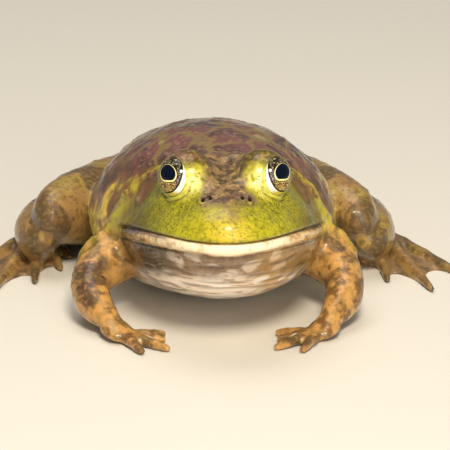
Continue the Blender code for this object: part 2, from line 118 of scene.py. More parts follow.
arm = {
    "spread": {1: (0.0, 0.0), -1: (3.0, 0.0)},   # how far each side's elbow is moved out and back
    # across, behind tip, up, half breadth, half height, share of the spread
    "limb": [
        (20.0, 61.0, 19.5, 8.6, 9.4, 0.0),
        (29.0, 55.0, 16.5, 7.6, 8.4, 0.4),
        (35.6, 45.0, 11.2, 5.8, 6.6, 1.0),
        (35.0, 36.5, 8.0, 5.4, 5.8, 1.0),
        (31.0, 28.5, 4.8, 3.9, 3.6, 0.8),
        (29.0, 25.0, 3.4, 3.8, 2.8, 0.8),
    ],
    "palm": [
        (31.5, 29.5, 4.0, 3.6, 3.0, 0.8),
        (28.5, 24.5, 2.8, 4.6, 2.4, 0.8),
        (25.5, 21.5, 1.8, 4.4, 1.8, 0.8),
    ],
    "root": (27.0, 23.0, 1.5, 0.8),
    "fingers": [(13.0, 164), (12.5, 190), (16.5, 216), (13.5, 246)],   # length, heading in degrees
    "fingerRadii": (1.9, 1.15),
    "fingerKnuckles": (0.42, 0.72),    # shares of the finger's length
    "palmBlunt": 5.0,                  # the higher, the blunter its two ends
    "fingerBlunt": 14.0,
}

leg = {
    "spread": {1: (0.0, 0.0), -1: (8.0, 4.0)},
    "thigh": [
        (13.0, 138.0, 13.5, 10.0, 10.5, 0.0),
        (22.0, 122.0, 14.5, 12.0, 12.4, 0.3),
        (32.5, 101.0, 16.2, 11.0, 12.2, 0.7),
        (41.0, 84.0, 18.0, 8.4, 9.6, 1.0),
        (44.0, 75.5, 18.0, 6.8, 7.8, 1.0),
    ],
    "shank": [
        (44.0, 77.0, 12.6, 6.0, 6.6, 1.0),
        (47.2, 90.0, 10.0, 7.0, 8.4, 0.95),
        (45.6, 108.0, 8.8, 7.2, 8.4, 0.75),
        (38.0, 129.0, 8.0, 6.0, 6.8, 0.4),
        (29.5, 146.0, 6.6, 5.0, 5.8, 0.2),
    ],
    "tarsus": [
        (30.5, 148.0, 5.2, 4.6, 5.0, 0.2),
        (37.0, 139.5, 4.6, 4.4, 4.4, 0.3),
        (46.0, 126.0, 3.9, 4.2, 3.8, 0.5),
        (50.5, 116.0, 3.2, 4.6, 3.0, 0.6),
    ],
    "root": (50.0, 118.0, 2.0, 0.6),
    "toes": [(25.0, 246), (35.0, 258), (46.0, 271), (57.0, 284), (47.0, 300)],
    "toeRadii": (2.5, 1.1),
    "toeKnuckles": (0.34, 0.58, 0.8),
    "blunt": {"thigh": 6.0, "shank": 8.0, "tarsus": 7.0},
    "toeBlunt": 16.0,
    "webReach": 0.86,    # share of a toe's length that the web covers
    "webHollow": 0.72,   # how far out the web's edge dips between two toes
    "webTop": 1.25,
    "webBottom": -1.0,   # below the floor; the skin is pressed flat there
    "webHeel": ((-1.5, 2.0), (2.5, 2.0)),   # its two corners behind the toes
}


def readStations(stations, places, at):
    # a smooth curve through the stations' values, read at a place
    rows = np.array(stations, float)
    places = np.array(places, float)
    i = int(np.clip(np.searchsorted(places, at, side="right") - 1, 0, len(places) - 2))
    step = places[i + 1] - places[i]
    t = (at - places[i]) / step
    slopes = np.gradient(rows, places, axis=0)
    return (
        (1 + 2 * t) * (1 - t) ** 2 * rows[i]
        + t * (1 - t) ** 2 * step * slopes[i]
        + t * t * (3 - 2 * t) * rows[i + 1]
        + t * t * (t - 1) * step * slopes[i + 1]
    )


def loftShell(rings):
    # points and faces of a closed shell; the first and last ring close to a point
    rings = np.array(rings)
    middle, sides = rings[1:-1], rings.shape[1]
    count = len(middle)
    points = np.concatenate([middle.reshape(-1, 3), rings[[0, -1]].mean(axis=1)])
    faces = []
    for row in range(count - 1):
        for i in range(sides):
            j = (i + 1) % sides
            low, high = row * sides, (row + 1) * sides
            faces.append((low + i, low + j, high + j, high + i))
    last = (count - 1) * sides
    for i in range(sides):
        j = (i + 1) % sides
        faces.append((count * sides, j, i))
        faces.append((count * sides + 1, last + i, last + j))
    return points, faces


def mouthLine(behind):
    back = np.maximum(behind, 0.0) / mouth["corner"]
    return mouth["tipHeight"] - mouth["drop"] * back ** mouth["curve"]


def bodyShell():
    length = body["length"]
    places = [acos(1 - 2 * row[0] / length) for row in body["stations"]]
    angles = np.linspace(0, 2 * pi, body["sides"], endpoint=False)
    c, s = np.cos(angles), np.sin(angles)
    rings = []
    for turn in np.linspace(0, pi, body["rings"]):
        _, half, wide, top, bottom, roof = readStations(body["stations"], places, turn)
        behind = (1 - cos(turn)) / 2 * length
        across = np.sign(c) * np.abs(c) ** np.where(s > 0, 1.0, body["sideSquare"][0]) * half
        upper = (top - wide) * np.abs(s) ** roof
        lower = -(wide - bottom) * np.abs(s) ** body["sideSquare"][1]
        off = np.hypot(np.abs(across) - body["browCentre"][0], behind - body["browCentre"][1])
        brow = body["browRise"] * np.exp(-((off / body["browWidth"]) ** 2) / 2) * s
        height = np.where(s > 0, upper + brow, lower)
        lean = body["lean"] * ramp(*body["leanRun"], behind)
        rings.append(np.stack([across - lean, np.full_like(c, behind), wide + height], axis=1))
    return loftShell(rings)


knuckle = {"swell": 0.14, "width": 0.05}   # share of the radius, share of the digit's length


def tubeShell(stations, sides=36, count=44, blunt=9.0, knuckles=()):
    # oval rings square to a smooth path through the stations, round at both ends
    rows = np.array(stations, float)
    runs = np.concatenate([[0], np.cumsum(np.linalg.norm(np.diff(rows[:, :3], axis=0), axis=1))])
    angles = np.linspace(0, 2 * pi, sides, endpoint=False)
    rings = []
    for turn in np.linspace(0, pi, count):
        along = (1 - cos(turn)) / 2
        at = along * runs[-1]
        here = readStations(rows, runs, at)
        ahead = readStations(rows, runs, at + 0.5)[:3] - readStations(rows, runs, at - 0.5)[:3]
        ahead /= np.linalg.norm(ahead)
        side = np.cross(ahead, (0, 0, 1))
        side /= np.linalg.norm(side)
        up = np.cross(side, ahead)
        full = (1 - abs(2 * along - 1) ** blunt) ** 0.5
        full *= 1 + sum(knuckle["swell"] * bell(along - place, knuckle["width"]) for place in knuckles)
        breadth, height = here[3:5] * full
        rings.append(
            here[:3] + np.outer(np.cos(angles), side * breadth) + np.outer(np.sin(angles), up * height)
        )
    return loftShell(rings)


def spreadOut(stations, side, spreads):
    # one side's limb: a row's last value says how much of the spread moves it
    out, back = spreads[side]
    return [(side * (row[0] + out * row[-1]), row[1] + back * row[-1], *row[2:-1]) for row in stations]


def digitStations(root, length, heading, radii, side):
    turn = radians(heading)
    rows = []
    for share in (0.0, 0.35, 0.7, 1.0):
        radius = partWay(radii, share)
        height = partWay((root[2], 1.0), share) + 0.5 * sin(pi * share)
        across = root[0] + side * cos(turn) * length * share
        rows.append((across, root[1] + sin(turn) * length * share, height, radius, radius))
    return rows


def webShell(root, side):
    # fan of thin prisms between neighbouring toes, its edge dipping between two tips
    edge = []
    for i, (length, heading) in enumerate(leg["toes"]):
        if i:
            before, headingBefore = leg["toes"][i - 1]
            for share in (0.25, 0.5, 0.75):
                turn = radians(partWay((headingBefore, heading), share))
                dip = 1 - (1 - leg["webHollow"] / leg["webReach"]) * sin(pi * share) ** 0.7
                reach = partWay((before, length), share) * leg["webReach"] * dip
                edge.append((cos(turn) * reach, sin(turn) * reach))
        turn = radians(heading)
        edge.append((cos(turn) * length * leg["webReach"], sin(turn) * length * leg["webReach"]))
    outline = [leg["webHeel"][0], *edge, leg["webHeel"][1]]
    bottom, top = leg["webBottom"], leg["webTop"]
    points, faces = [(root[0], root[1], bottom), (root[0], root[1], top + 0.4)], []
    for x, y in outline:
        points.append((root[0] + side * x, root[1] + y, bottom))
        points.append((root[0] + side * x, root[1] + y, top - 0.35))
    count = len(outline)
    for i in range(count):
        low, nextLow = 2 + 2 * i, 2 + 2 * ((i + 1) % count)
        faces += [(0, low, nextLow), (1, nextLow + 1, low + 1), (low, low + 1, nextLow + 1, nextLow)]
    return np.array(points), faces


def ballShell(centre, radius, axes=np.eye(3), sides=64, count=40):
    # its poles lie on the third axis
    angles = np.linspace(0, 2 * pi, sides, endpoint=False)
    rings = []
    for tilt in np.linspace(0, pi, count):
        around = np.outer(np.cos(angles), axes[0]) * sin(tilt)
        circle = around + np.outer(np.sin(angles), axes[1]) * sin(tilt)
        rings.append(np.array(centre) + radius * (circle + axes[2] * cos(tilt)))
    return loftShell(rings)


def eyePoints(side):
    # eyeball centre, gaze, and the centre of the swelling that carries the lids
    centre = onSide(eye["centre"], side)
    out, up = eye["gazeOut"], eye["gazeUp"]
    gaze = onSide((sin(out) * cos(up), -cos(out) * cos(up), sin(up)), side)
    return centre, gaze, centre - gaze * eye["lidDepth"]


def allShells():
    shells, paths = [bodyShell()], {"arm": [], "leg": [], "foot": []}
    half = radians(eye["opening"])
    lidRadius = hypot(eye["radius"] * cos(half) + eye["lidDepth"], eye["radius"] * sin(half))
    for side in (1, -1):
        shells.append(ballShell(eyePoints(side)[2], lidRadius))
        limb = spreadOut(arm["limb"], side, arm["spread"])
        palm = spreadOut(arm["palm"], side, arm["spread"])
        root = spreadOut([arm["root"]], side, arm["spread"])[0]
        shells += [tubeShell(limb), tubeShell(palm, blunt=arm["palmBlunt"])]
        paths["arm"] += [(side, limb), (side, palm)]
        for length, heading in arm["fingers"]:
            rows = digitStations(root, length, heading, arm["fingerRadii"], side)
            shells.append(tubeShell(rows, 20, 30, arm["fingerBlunt"], arm["fingerKnuckles"]))
            paths["arm"].append((side, rows))
        for name in ("thigh", "shank", "tarsus"):
            rows = spreadOut(leg[name], side, leg["spread"])
            shells.append(tubeShell(rows, blunt=leg["blunt"][name]))
            paths["leg"].append((side, rows))
        root = spreadOut([leg["root"]], side, leg["spread"])[0]
        for length, heading in leg["toes"]:
            rows = digitStations(root, length, heading, leg["toeRadii"], side)
            shells.append(tubeShell(rows, 20, 44, leg["toeBlunt"], leg["toeKnuckles"]))
            paths["foot"].append((side, rows))
        shells.append(webShell(root, side))
    return shells, paths


skinMesh = {
    "voxel": 0.6,              # grain of the fused skin
    "settle": 3,               # rounds that take the grain's steps out
    "giveBack": 0.52,          # share of each round that is undone, so that nothing shrinks
    "fillet": 26,              # rounds that fill the creases where pieces meet
    "filletHollow": (0.004, 0.03),   # how hollow a place is before it fills, millimetres
    "filletPull": 0.9,
    "headBack": 54.0,          # the mesh is twice as fine in front of this
    "headFloor": 3.0,
    "headSettle": 2,
    "detailSettle": 1,
    "mouthSettle": 3,
    "rimSettle": 6,
}


def newObject(name, points, faces):
    mesh = bpy.data.meshes.new(name)
    mesh.from_pydata([tuple(point) for point in points], [], faces)
    mesh.update()
    obj = bpy.data.objects.new(name, mesh)
    bpy.context.scene.collection.objects.link(obj)
    return obj


def fuse(shells):
    points, faces, base = [], [], 0
    for shellPoints, shellFaces in shells:
        points.append(toWorld(shellPoints))
        faces += [tuple(base + i for i in face) for face in shellFaces]
        base += len(shellPoints)
    skin = newObject("skin", np.concatenate(points), faces)
    remesh = skin.modifiers.new("remesh", "REMESH")
    remesh.mode = "VOXEL"
    remesh.voxel_size = skinMesh["voxel"] * mm
    bpy.context.view_layer.objects.active = skin
    bpy.ops.object.modifier_apply(modifier=remesh.name)
    return skin


def readArray(items, name, width, kind=float):
    flat = np.empty(len(items) * width, kind)
    items.foreach_get(name, flat)
    return flat.reshape(-1, width)


def readPoints(mesh):
    return (readArray(mesh.vertices, "co", 3) - (midX, tipY, 0.0)) / mm


def writePoints(mesh, points):
    mesh.vertices.foreach_set("co", toWorld(points).ravel())
    mesh.update()


def readNormals(mesh):
    return readArray(mesh.vertices, "normal", 3)


def readEdges(mesh):
    return readArray(mesh.edges, "vertices", 2, np.int32)


def toNeighbours(values, edges):
    # from each vertex to the mean of its neighbours
    count = len(values)
    ends = np.concatenate([edges[:, 0], edges[:, 1]])
    others = np.concatenate([edges[:, 1], edges[:, 0]])
    share = 1.0 / np.maximum(np.bincount(ends, minlength=count), 1)
    sums = [np.bincount(ends, column[others], count) for column in values.T]
    return np.stack([total * share for total in sums], axis=1) - values


def settle(mesh, rounds, strength=0.5):
    points, edges = readPoints(mesh), readEdges(mesh)
    for _ in range(rounds):
        points += strength * toNeighbours(points, edges)
        points -= skinMesh["giveBack"] * strength * toNeighbours(points, edges)
    writePoints(mesh, points)


def fillCreases(mesh, rounds):
    # only hollows move, and only outwards, so that toes and rims keep their size
    points, edges = readPoints(mesh), readEdges(mesh)
    for i in range(rounds):
        if i % 4 == 0:
            writePoints(mesh, points)
            normals = readNormals(mesh)
        pull = toNeighbours(points, edges)
        hollow = (pull * normals).sum(axis=1)
        points += pull * ramp(*skinMesh["filletHollow"], hollow)[:, None] * skinMesh["filletPull"]
    writePoints(mesh, points)


def refine(mesh, wanted):
    # halves the edges between wanted points
    bm = bmesh.new()
    bm.from_mesh(mesh)
    bm.verts.ensure_lookup_table()
    edges = [e for e in bm.edges if wanted[e.verts[0].index] and wanted[e.verts[1].index]]
    bmesh.ops.subdivide_edges(bm, edges=edges, cuts=1, use_grid_fill=True)
    bm.to_mesh(mesh)
    bm.free()


def noiseAt(points, size, seed=0.0):
    # smooth noise from about -1 to 1 with features of this size
    scaled = (points / size + (seed, seed * 0.7, -seed)).tolist()
    return np.array([noise.noise(place) for place in scaled])


shells, paths = allShells()
skin = fuse(shells)
print("fused skin", len(skin.data.polygons), "faces")
settle(skin.data, skinMesh["settle"])
fillCreases(skin.data, skinMesh["fillet"])
points = readPoints(skin.data)
refine(skin.data, (points[:, 1] < skinMesh["headBack"]) & (points[:, 2] > skinMesh["headFloor"]))
settle(skin.data, skinMesh["headSettle"])


lips = {
    "groove": (0.75, 1.2),       # depth of the closed mouth, middle and corners
    "grooveWidth": (0.32, 0.5),
    "upperRise": 0.4,            # the upper lip stands over the lower one
    "bandWidth": 3.5,            # height of the pale lower lip
    "knob": 0.7,                 # more of it at the middle
    "knobWidth": 4.8,
    "taper": 0.2,
    "bandRise": 0.6,
    "underCrease": 0.65,
}

lids = {
    "sunk": 5.4,           # the skin in the opening lies this far from the eyeball's centre
    "opening": 60.5,       # degrees from the opening's axis to the rim
    "tilt": 8.5,           # the opening's axis lies this far below the gaze
    "rim": (0.5, 0.38, 0.3),       # the raised rim of the lids: distance from the eyeball, width, rise
    "fold": (1.75, 0.4, 0.3),      # a fold below the lower lid: the same, with its depth
    "swell": (3.0, 0.8, 0.2),
    "noseTrim": 4.0,       # the opening is narrower towards the nose
    "thick": 0.3,
    "troughAt": 8.3,       # the cheek's dent lies this far from the eyeball's centre
    "troughTurn": radians(66),
    "troughDepth": 1.15,
    "troughWidth": 4.2,
    "hugs": (18.0, 40.0),  # degrees past the rim where the lid has left the eyeball, above and below
    "creaseDepth": 0.14,
}

# an arched slit over a small knob
nostril = {
    "centre": (5.6, 12.6, 46.2),
    "upSnout": (0.87, 0.5),   # how far back and up a millimetre up the snout goes
    "archRadius": 1.1, "slit": 0.42, "depth": 1.3, "knobRise": 0.35, "rimRise": 0.4,
}

ear = {"centre": (21.9, 42.0, 39.7), "radius": 5.2, "sunk": 0.7, "rimRise": 0.45}

# folds drawn on the side of the body as (behind, up); every one is on both sides
folds = {
    "ear": {   # from the eye over the ear drum down to the arm
        "path": [(33.0, 47.5), (38.0, 47.8), (43.5, 46.8), (48.5, 43.5), (51.0, 37.0), (51.5, 30.0)],
        "rise": 1.1, "width": 1.5, "under": 0.7,
    },
    "corner": {
        "path": [(45.0, 28.4), (48.2, 26.6), (49.6, 22.0), (49.0, 15.5)],
        "rise": -0.9, "width": 1.1, "under": 0.0,
    },
    "cheek": {
        "path": [(48.5, 33.0), (52.2, 28.0), (53.0, 21.0), (51.5, 13.0)],
        "rise": 1.2, "width": 1.5, "under": 0.0,
    },
    "neck": {"path": [(54.0, 36.0), (56.2, 29.0), (56.5, 21.0)], "rise": -0.7, "width": 1.0, "under": 0.0},
}

texture = {
    "warts": 420, "wartSize": (0.7, 1.7), "wartRise": (0.1, 0.32),
    "wrinkleStep": 2.7, "wrinkleRise": 0.36,
    "lumpSize": 9.0, "lumpRise": 0.45,
    "grainSize": 1.7, "grainRise": 0.07,
}


def along(path, count=160):
    # points evenly spaced on a smooth curve through the path's points
    rows = np.array(path, float)
    runs = np.concatenate([[0], np.cumsum(np.linalg.norm(np.diff(rows, axis=0), axis=1))])
    return np.array([readStations(rows, runs, at) for at in np.linspace(0, runs[-1], count)])


def offPath(points, path):
    # distance to the path, how far along it, and on which side
    line = along(path)
    gaps = points[:, None, :] - line[None, :, :]
    squares = (gaps ** 2).sum(axis=2)
    nearest = squares.argmin(axis=1)
    ahead = np.gradient(line, axis=0)[nearest]
    gap = gaps[np.arange(len(points)), nearest]
    turned = np.sign(ahead[:, 0] * gap[:, 1] - ahead[:, 1] * gap[:, 0])
    return np.sqrt(squares.min(axis=1)), nearest / (len(line) - 1), turned


def limbNearness(points, limbs, count=36):
    # distance from each limb's axis in shares of its radius, and the share of its length
    near = np.full(len(points), 9.0)
    share = np.zeros(len(points))
    for side, rows in limbs:
        line = along(rows, count)
        low, high = line[:, :3].min(axis=0) - 16, line[:, :3].max(axis=0) + 16
        inside = np.flatnonzero(((points > low) & (points < high)).all(axis=1))
        gaps = np.linalg.norm(points[inside, None, :] - line[None, :, :3], axis=2)
        gaps /= line[None, :, 3:5].max(axis=2)
        nearest = gaps.argmin(axis=1)
        closer = gaps.min(axis=1) < near[inside]
        near[inside[closer]] = gaps.min(axis=1)[closer]
        share[inside[closer]] = nearest[closer] / (count - 1)
    return near, share


def eyeAxes(side):
    # the gaze, and the directions towards the nose and up across the eye's face
    gaze = eyePoints(side)[1]
    nose = np.cross(gaze, (0, 0, 1.0)) * side
    nose /= np.linalg.norm(nose)
    return gaze, nose, np.cross(nose, gaze) * side


def lidAngles(points, side):
    # distance from the eyeball's centre, angle past the rim of the lids, how far up and towards
    # the nose, and the direction away from the centre
    gaze, nose, lift = eyeAxes(side)
    tilt = radians(lids["tilt"])
    axis = gaze * cos(tilt) - lift * sin(tilt)
    off = points - eyePoints(side)[0]
    far = np.maximum(np.linalg.norm(off, axis=1), 0.01)
    angle = np.degrees(np.arccos(np.clip(off @ axis / far, -1, 1)))
    inward = np.clip(off @ nose / eye["radius"], 0, 1) * np.clip(1 + off @ lift / eye["radius"], 0, 1)
    past = angle + lids["noseTrim"] * inward - lids["opening"]
    return far, past, off @ lift, off @ nose, off / far[:, None]


def lipBand(across, behind):
    # height of the pale lower lip, which thins out at the corners of the mouth
    full = lips["bandWidth"] + lips["knob"] * bell(across, lips["knobWidth"])
    return full * (1 - lips["taper"] * ramp(34, 48, behind))


def sculptMouth(points, normals):
    across, behind, up = points.T
    above = up - mouthLine(behind)
    head = ramp(49.5, 43.5, behind)
    band = lipBand(across, behind)
    below = -above / band
    outer = ramp(10, 30, np.abs(across))
    move = -partWay(lips["groove"], outer) * bell(above, partWay(lips["grooveWidth"], outer))
    move += lips["upperRise"] * bell(above - 1.3, 1.0)
    move += lips["bandRise"] * np.sin(pi * np.clip(below, 0, 1)) ** 0.7
    move -= lips["underCrease"] * bell((below - 1) * band - 0.45, 0.55)
    return normals * (move * head)[:, None]


def openLids(points):
    # sinks the skin in front of the eyeball, and near the rim lets the lid hug it
    moved = np.zeros_like(points)
    for side in (1, -1):
        far, past, lift, _, outward = lidAngles(points, side)
        shut = ramp(-2.2, 1.0, past)
        lower = ramp(0.5, -2.5, lift)
        creases = lids["creaseDepth"] * (bell(past - 11, 1.6) + bell(past - 19, 2.0)) * ramp(0.5, 3.0, lift)
        snug = eye["radius"] + lids["thick"] + 0.03 * np.maximum(past, 0)
        hugs = partWay(lids["hugs"], lower)
        hugged = np.where(far > snug, snug + (far - snug) * np.clip((past - 1) / hugs, 0, 1) ** 1.6, far)
        move = (hugged - creases - far) * shut * ramp(56, 36, past) * ramp(13.0, 10.0, far)
        move += (lids["sunk"] - far) * (1 - shut) * ramp(9.4, 7.8, far)
        moved += outward * move[:, None]
    return moved


def rimGap(points):
    # millimetres from the rim of the nearer eye's lids, and how far down it is
    gaps, lowers = np.full(len(points), 99.0), np.zeros(len(points))
    for side in (1, -1):
        far, past, lift, _, _ = lidAngles(points, side)
        gap = np.hypot(np.maximum(far - eye["radius"], 0), np.maximum(past, 0) * radians(1) * eye["radius"])
        gap = np.where(far < eye["radius"], np.where(past < 0, -1.0, gap), gap)
        nearer = gap < gaps
        gaps[nearer], lowers[nearer] = gap[nearer], ramp(0.5, -2.5, lift)[nearer]
    return gaps, lowers


def sculptRims(points, normals):
    gap, lower = rimGap(points)
    move = 0
    for (at, width, rise), sign in ((lids["rim"], 1), (lids["fold"], -lower), (lids["swell"], lower)):
        move = move + rise * sign * bell(gap - at, width)
    return normals * (move * (gap > 0))[:, None]


def nostrilPlace(points, side):
    # distance from the arch of the slit and from its middle, and how much of the slit is there
    off = points - onSide(nostril["centre"], side)
    back, high = nostril["upSnout"]
    rise = off[:, 1] * back + off[:, 2] * high
    middle = np.hypot(off[:, 0], rise)
    deep = np.abs(off[:, 2] * back - off[:, 1] * high)
    arch = np.hypot(np.abs(middle - nostril["archRadius"]), np.maximum(deep - 1.5, 0))
    ends = 0.45 + 0.55 * ramp(0.3, 0.85, np.abs(off[:, 0]))   # deepest at the arch's two ends
    return arch, np.hypot(middle, deep * 0.5), ends * ramp(-0.7, 0.2, rise + 0.25 * side * off[:, 0])


def sculptNostrils(points, normals):
    moved = np.zeros_like(points)
    for side in (1, -1):
        arch, middle, upper = nostrilPlace(points, side)
        move = -nostril["depth"] * bell(arch, nostril["slit"]) * upper
        move += nostril["knobRise"] * bell(middle, 0.75)
        move += nostril["rimRise"] * bell(middle - 2.0, 0.6) * upper
        moved += normals * move[:, None]
    return moved


def sculptEars(points, normals):
    moved = np.zeros_like(points)
    for side in (1, -1):
        off = np.linalg.norm(points - onSide(ear["centre"], side), axis=1)
        dish = -ear["sunk"] * ramp(ear["radius"], ear["radius"] - 1.6, off) + 0.45 * bell(off, 1.6)
        rim = ear["rimRise"] * bell(off - ear["radius"] - 0.4, 0.7)
        moved += normals * (dish + rim)[:, None]
    return moved


def sculptFolds(points, normals):
    moved, crest = np.zeros_like(points), np.zeros(len(points))
    across, behind, up = points.T
    near = np.flatnonzero((behind > 28) & (behind < 62) & (np.abs(across) > 13) & (up > 10))
    flank = points[near][:, 1:]
    sideways = ramp(0.25, 0.6, np.abs(normals[near, 0]))
    for fold in folds.values():
        off, share, turned = offPath(flank, fold["path"])
        fade = ramp(0, 0.2, share) * ramp(1.0, 0.8, share) * sideways
        move = fold["rise"] * bell(off, fold["width"]) * fade
        move -= fold["under"] * bell(off * turned - 2.0, 0.9) * fade
        moved[near] += normals[near] * move[:, None]
        if fold["rise"] > 0:
            crest[near] = np.maximum(crest[near], bell(off, fold["width"] * 0.8) * fade)
    return moved, crest


# low forms of the head, as (rise, width)
headForms = {
    "snoutHollow": (-0.8, 4.0),    # between nostril and eye
    "snoutRidge": (0.45, 2.2),     # above it
    "browDip": (-1.5, 2.6),        # between the eyes
    "napeFold": (0.5, 1.3),        # across the back of the head
    "napeDip": (-0.35, 1.6),       # in front of it
    "keel": (0.25, 1.6),           # down the middle of the snout
}


def sculptHollows(points, normals):
    across, behind, up = points.T
    off = np.abs(across)

    def form(name, away):
        rise, width = headForms[name]
        return rise * bell(away, width)

    ridgeAway = np.hypot((off - 7.6 - (behind - 13) * 0.12) * 1.4, (behind - 17) * 0.45)
    move = form("snoutHollow", np.hypot(off - 12.5, behind - 14.5)) * ramp(38, 41, up)
    move += form("snoutRidge", ridgeAway) * ramp(42, 45, up)
    move += form("browDip", np.hypot(off * 0.72, (behind - 29) * 0.22)) * ramp(44, 47, up)
    # the cheek draws back under the eye
    for side in (1, -1):
        gaze, _, lift = eyeAxes(side)
        down = gaze * cos(lids["troughTurn"]) - lift * sin(lids["troughTurn"])
        low = eyePoints(side)[0] + lids["troughAt"] * down
        away = np.linalg.norm((points - low) * (1.0, 1.0, 0.8), axis=1)
        move -= lids["troughDepth"] * bell(away, lids["troughWidth"])
    line = behind - 37 + 0.02 * off ** 2 - 1.5 * noiseAt(points * (1.0, 0.4, 0.4), 7.0, 31.0)
    move += (form("napeFold", line) + form("napeDip", line + 3.2)) * ramp(15, 11, off) * ramp(46, 49, up)
    move += form("keel", off) * ramp(2, 7, behind) * ramp(22, 14, behind) * ramp(38, 41, up)
    return normals * (move * ramp(54, 48, behind))[:, None]


def sculptThroat(points, normals, limb):
    # wrinkles run under the jaw, side to side, and break up with a slow noise
    across, behind, up = points.T
    depth = mouthLine(behind) - up
    wave = noiseAt(points * (0.35, 1.0, 1.0), 4.0, 3.0)
    slow = noiseAt(points, 9.0, 8.0)
    turn = (depth + 1.8 * slow) / texture["wrinkleStep"] * 2 * pi + 1.6 * wave
    throat = ramp(3.9, 6.0, depth) * ramp(58, 46, behind) * ramp(1.0, 4.0, up) * (1 - limb)
    # thin valleys between broad crests, stronger in some places than in others
    valley = np.abs(np.cos(turn / 2)) ** 4 * ramp(-0.6, 0.5, noiseAt(points * (0.5, 1.0, 1.0), 5.5, 21.0))
    move = -valley * texture["wrinkleRise"]
    # the throat sags a little between the jaw bones
    move += 0.5 * bell(across, 12) * ramp(6, 12, depth)
    # the second value is the depth of the wrinkles' valleys, kept for painted shade in them
    return normals * (move * throat)[:, None], valley * throat


def sculptSkin(points, normals, limb, digit):
    across, behind, up = points.T
    trunk = ramp(44, 60, behind) * ramp(1.0, 3.0, up)
    lumps = noiseAt(points * (1.0, 0.6, 1.0), texture["lumpSize"], 1.0)
    lumps += 0.5 * noiseAt(points, texture["lumpSize"] * 0.42, 5.0)
    grain = noiseAt(points, texture["grainSize"], 2.0)
    onEar = ramp(8.5, 6.0, np.linalg.norm(np.abs(points) - ear["centre"], axis=1))
    move = texture["lumpRise"] * lumps * trunk * (1 - 0.5 * limb) * (1 - digit) * (1 - onEar)
    head = ramp(48, 40, behind)
    move += texture["grainRise"] * grain * (1 - 0.55 * head) * ramp(0.8, 2.0, up) * (1 - 0.6 * digit)
    # warts on back, flanks and the tops of the legs
    rng = np.random.default_rng(7)
    bare = (behind > 34) & (normals[:, 2] > -0.1) & (up > 9) & (digit < 0.3) & (onEar < 0.5)
    spots = np.flatnonzero(bare)
    chosen = rng.choice(spots, texture["warts"], replace=False)
    sizes = rng.uniform(*texture["wartSize"], texture["warts"])
    rises = rng.uniform(*texture["wartRise"], texture["warts"])
    for spot, size, rise in zip(chosen, sizes, rises):
        near = np.flatnonzero(np.abs(points - points[spot]).max(axis=1) < 2.4 * size)
        gap = np.linalg.norm(points[near] - points[spot], axis=1)
        move[near] += rise * bell(gap, size)
    return normals * move[:, None]


def nearDetail(points):
    # the mouth line, the edge of the lip, the rims of the lids and the nostrils
    across, behind, up = points.T
    above = up - mouthLine(behind)
    band = lipBand(across, behind)
    near = (np.minimum(np.abs(above), np.abs(above + band)) < 1.0) & (behind < 50)
    for side in (1, -1):
        far, past, _, _, _ = lidAngles(points, side)
        near |= (np.abs(past) < 6) & (far < 10)
        near |= nostrilPlace(points, side)[1] < 2.6
    return near


refine(skin.data, nearDetail(readPoints(skin.data)))
settle(skin.data, skinMesh["detailSettle"])
print("refined skin", len(skin.data.polygons), "faces")
points, normals = readPoints(skin.data), readNormals(skin.data)
legNear, legShare = limbNearness(points, paths["leg"])
armNear, _ = limbNearness(points, paths["arm"])
footNear, _ = limbNearness(points, paths["foot"])
limbMask = np.maximum(ramp(1.35, 1.0, legNear), ramp(1.35, 1.05, armNear))
digitMask = np.maximum(ramp(2.6, 1.6, footNear), ramp(3.0, 1.4, points[:, 2]) * (armNear < 1.6))
wrinkled, wrinkleShadeMask = sculptThroat(points, normals, limbMask)
points += sculptMouth(points, normals) + sculptHollows(points, normals) + wrinkled
folded, crestMask = sculptFolds(points, normals)
points += folded + sculptEars(points, normals) + sculptNostrils(points, normals)
points += sculptSkin(points, normals, limbMask, digitMask)
points += openLids(points)
# takes the steps out of the mouth line and the lids
edges = readEdges(skin.data)
mouthNear = bell(points[:, 2] - mouthLine(points[:, 1]), 1.2) * (points[:, 1] < 52)
for _ in range(skinMesh["mouthSettle"]):
    points += 0.5 * toNeighbours(points, edges) * mouthNear[:, None]
for _ in range(skinMesh["rimSettle"]):
    rimNear = ramp(3.5, 2.0, rimGap(points)[0])
    points += 0.5 * toNeighbours(points, edges) * rimNear[:, None]
writePoints(skin.data, points)
points += sculptRims(points, readNormals(skin.data))
points[:, 2] = np.maximum(points[:, 2], 0.0)
writePoints(skin.data, points)
skin.data.shade_smooth()
print("sculpted", len(points), "points")


def lidNearness(points):
    # how near the eyelids a point is, and how far up and towards the nose from the eye's centre
    nearness, lift, nose = (np.zeros(len(points)) for _ in range(3))
    for side in (1, -1):
        far, _, up, inward, _ = lidAngles(points, side)
        close = far < 12.0
        nearness[close] = ramp(12.0, 9.6, far)[close]
        lift[close], nose[close] = up[close], inward[close]
    return nearness, lift, nose


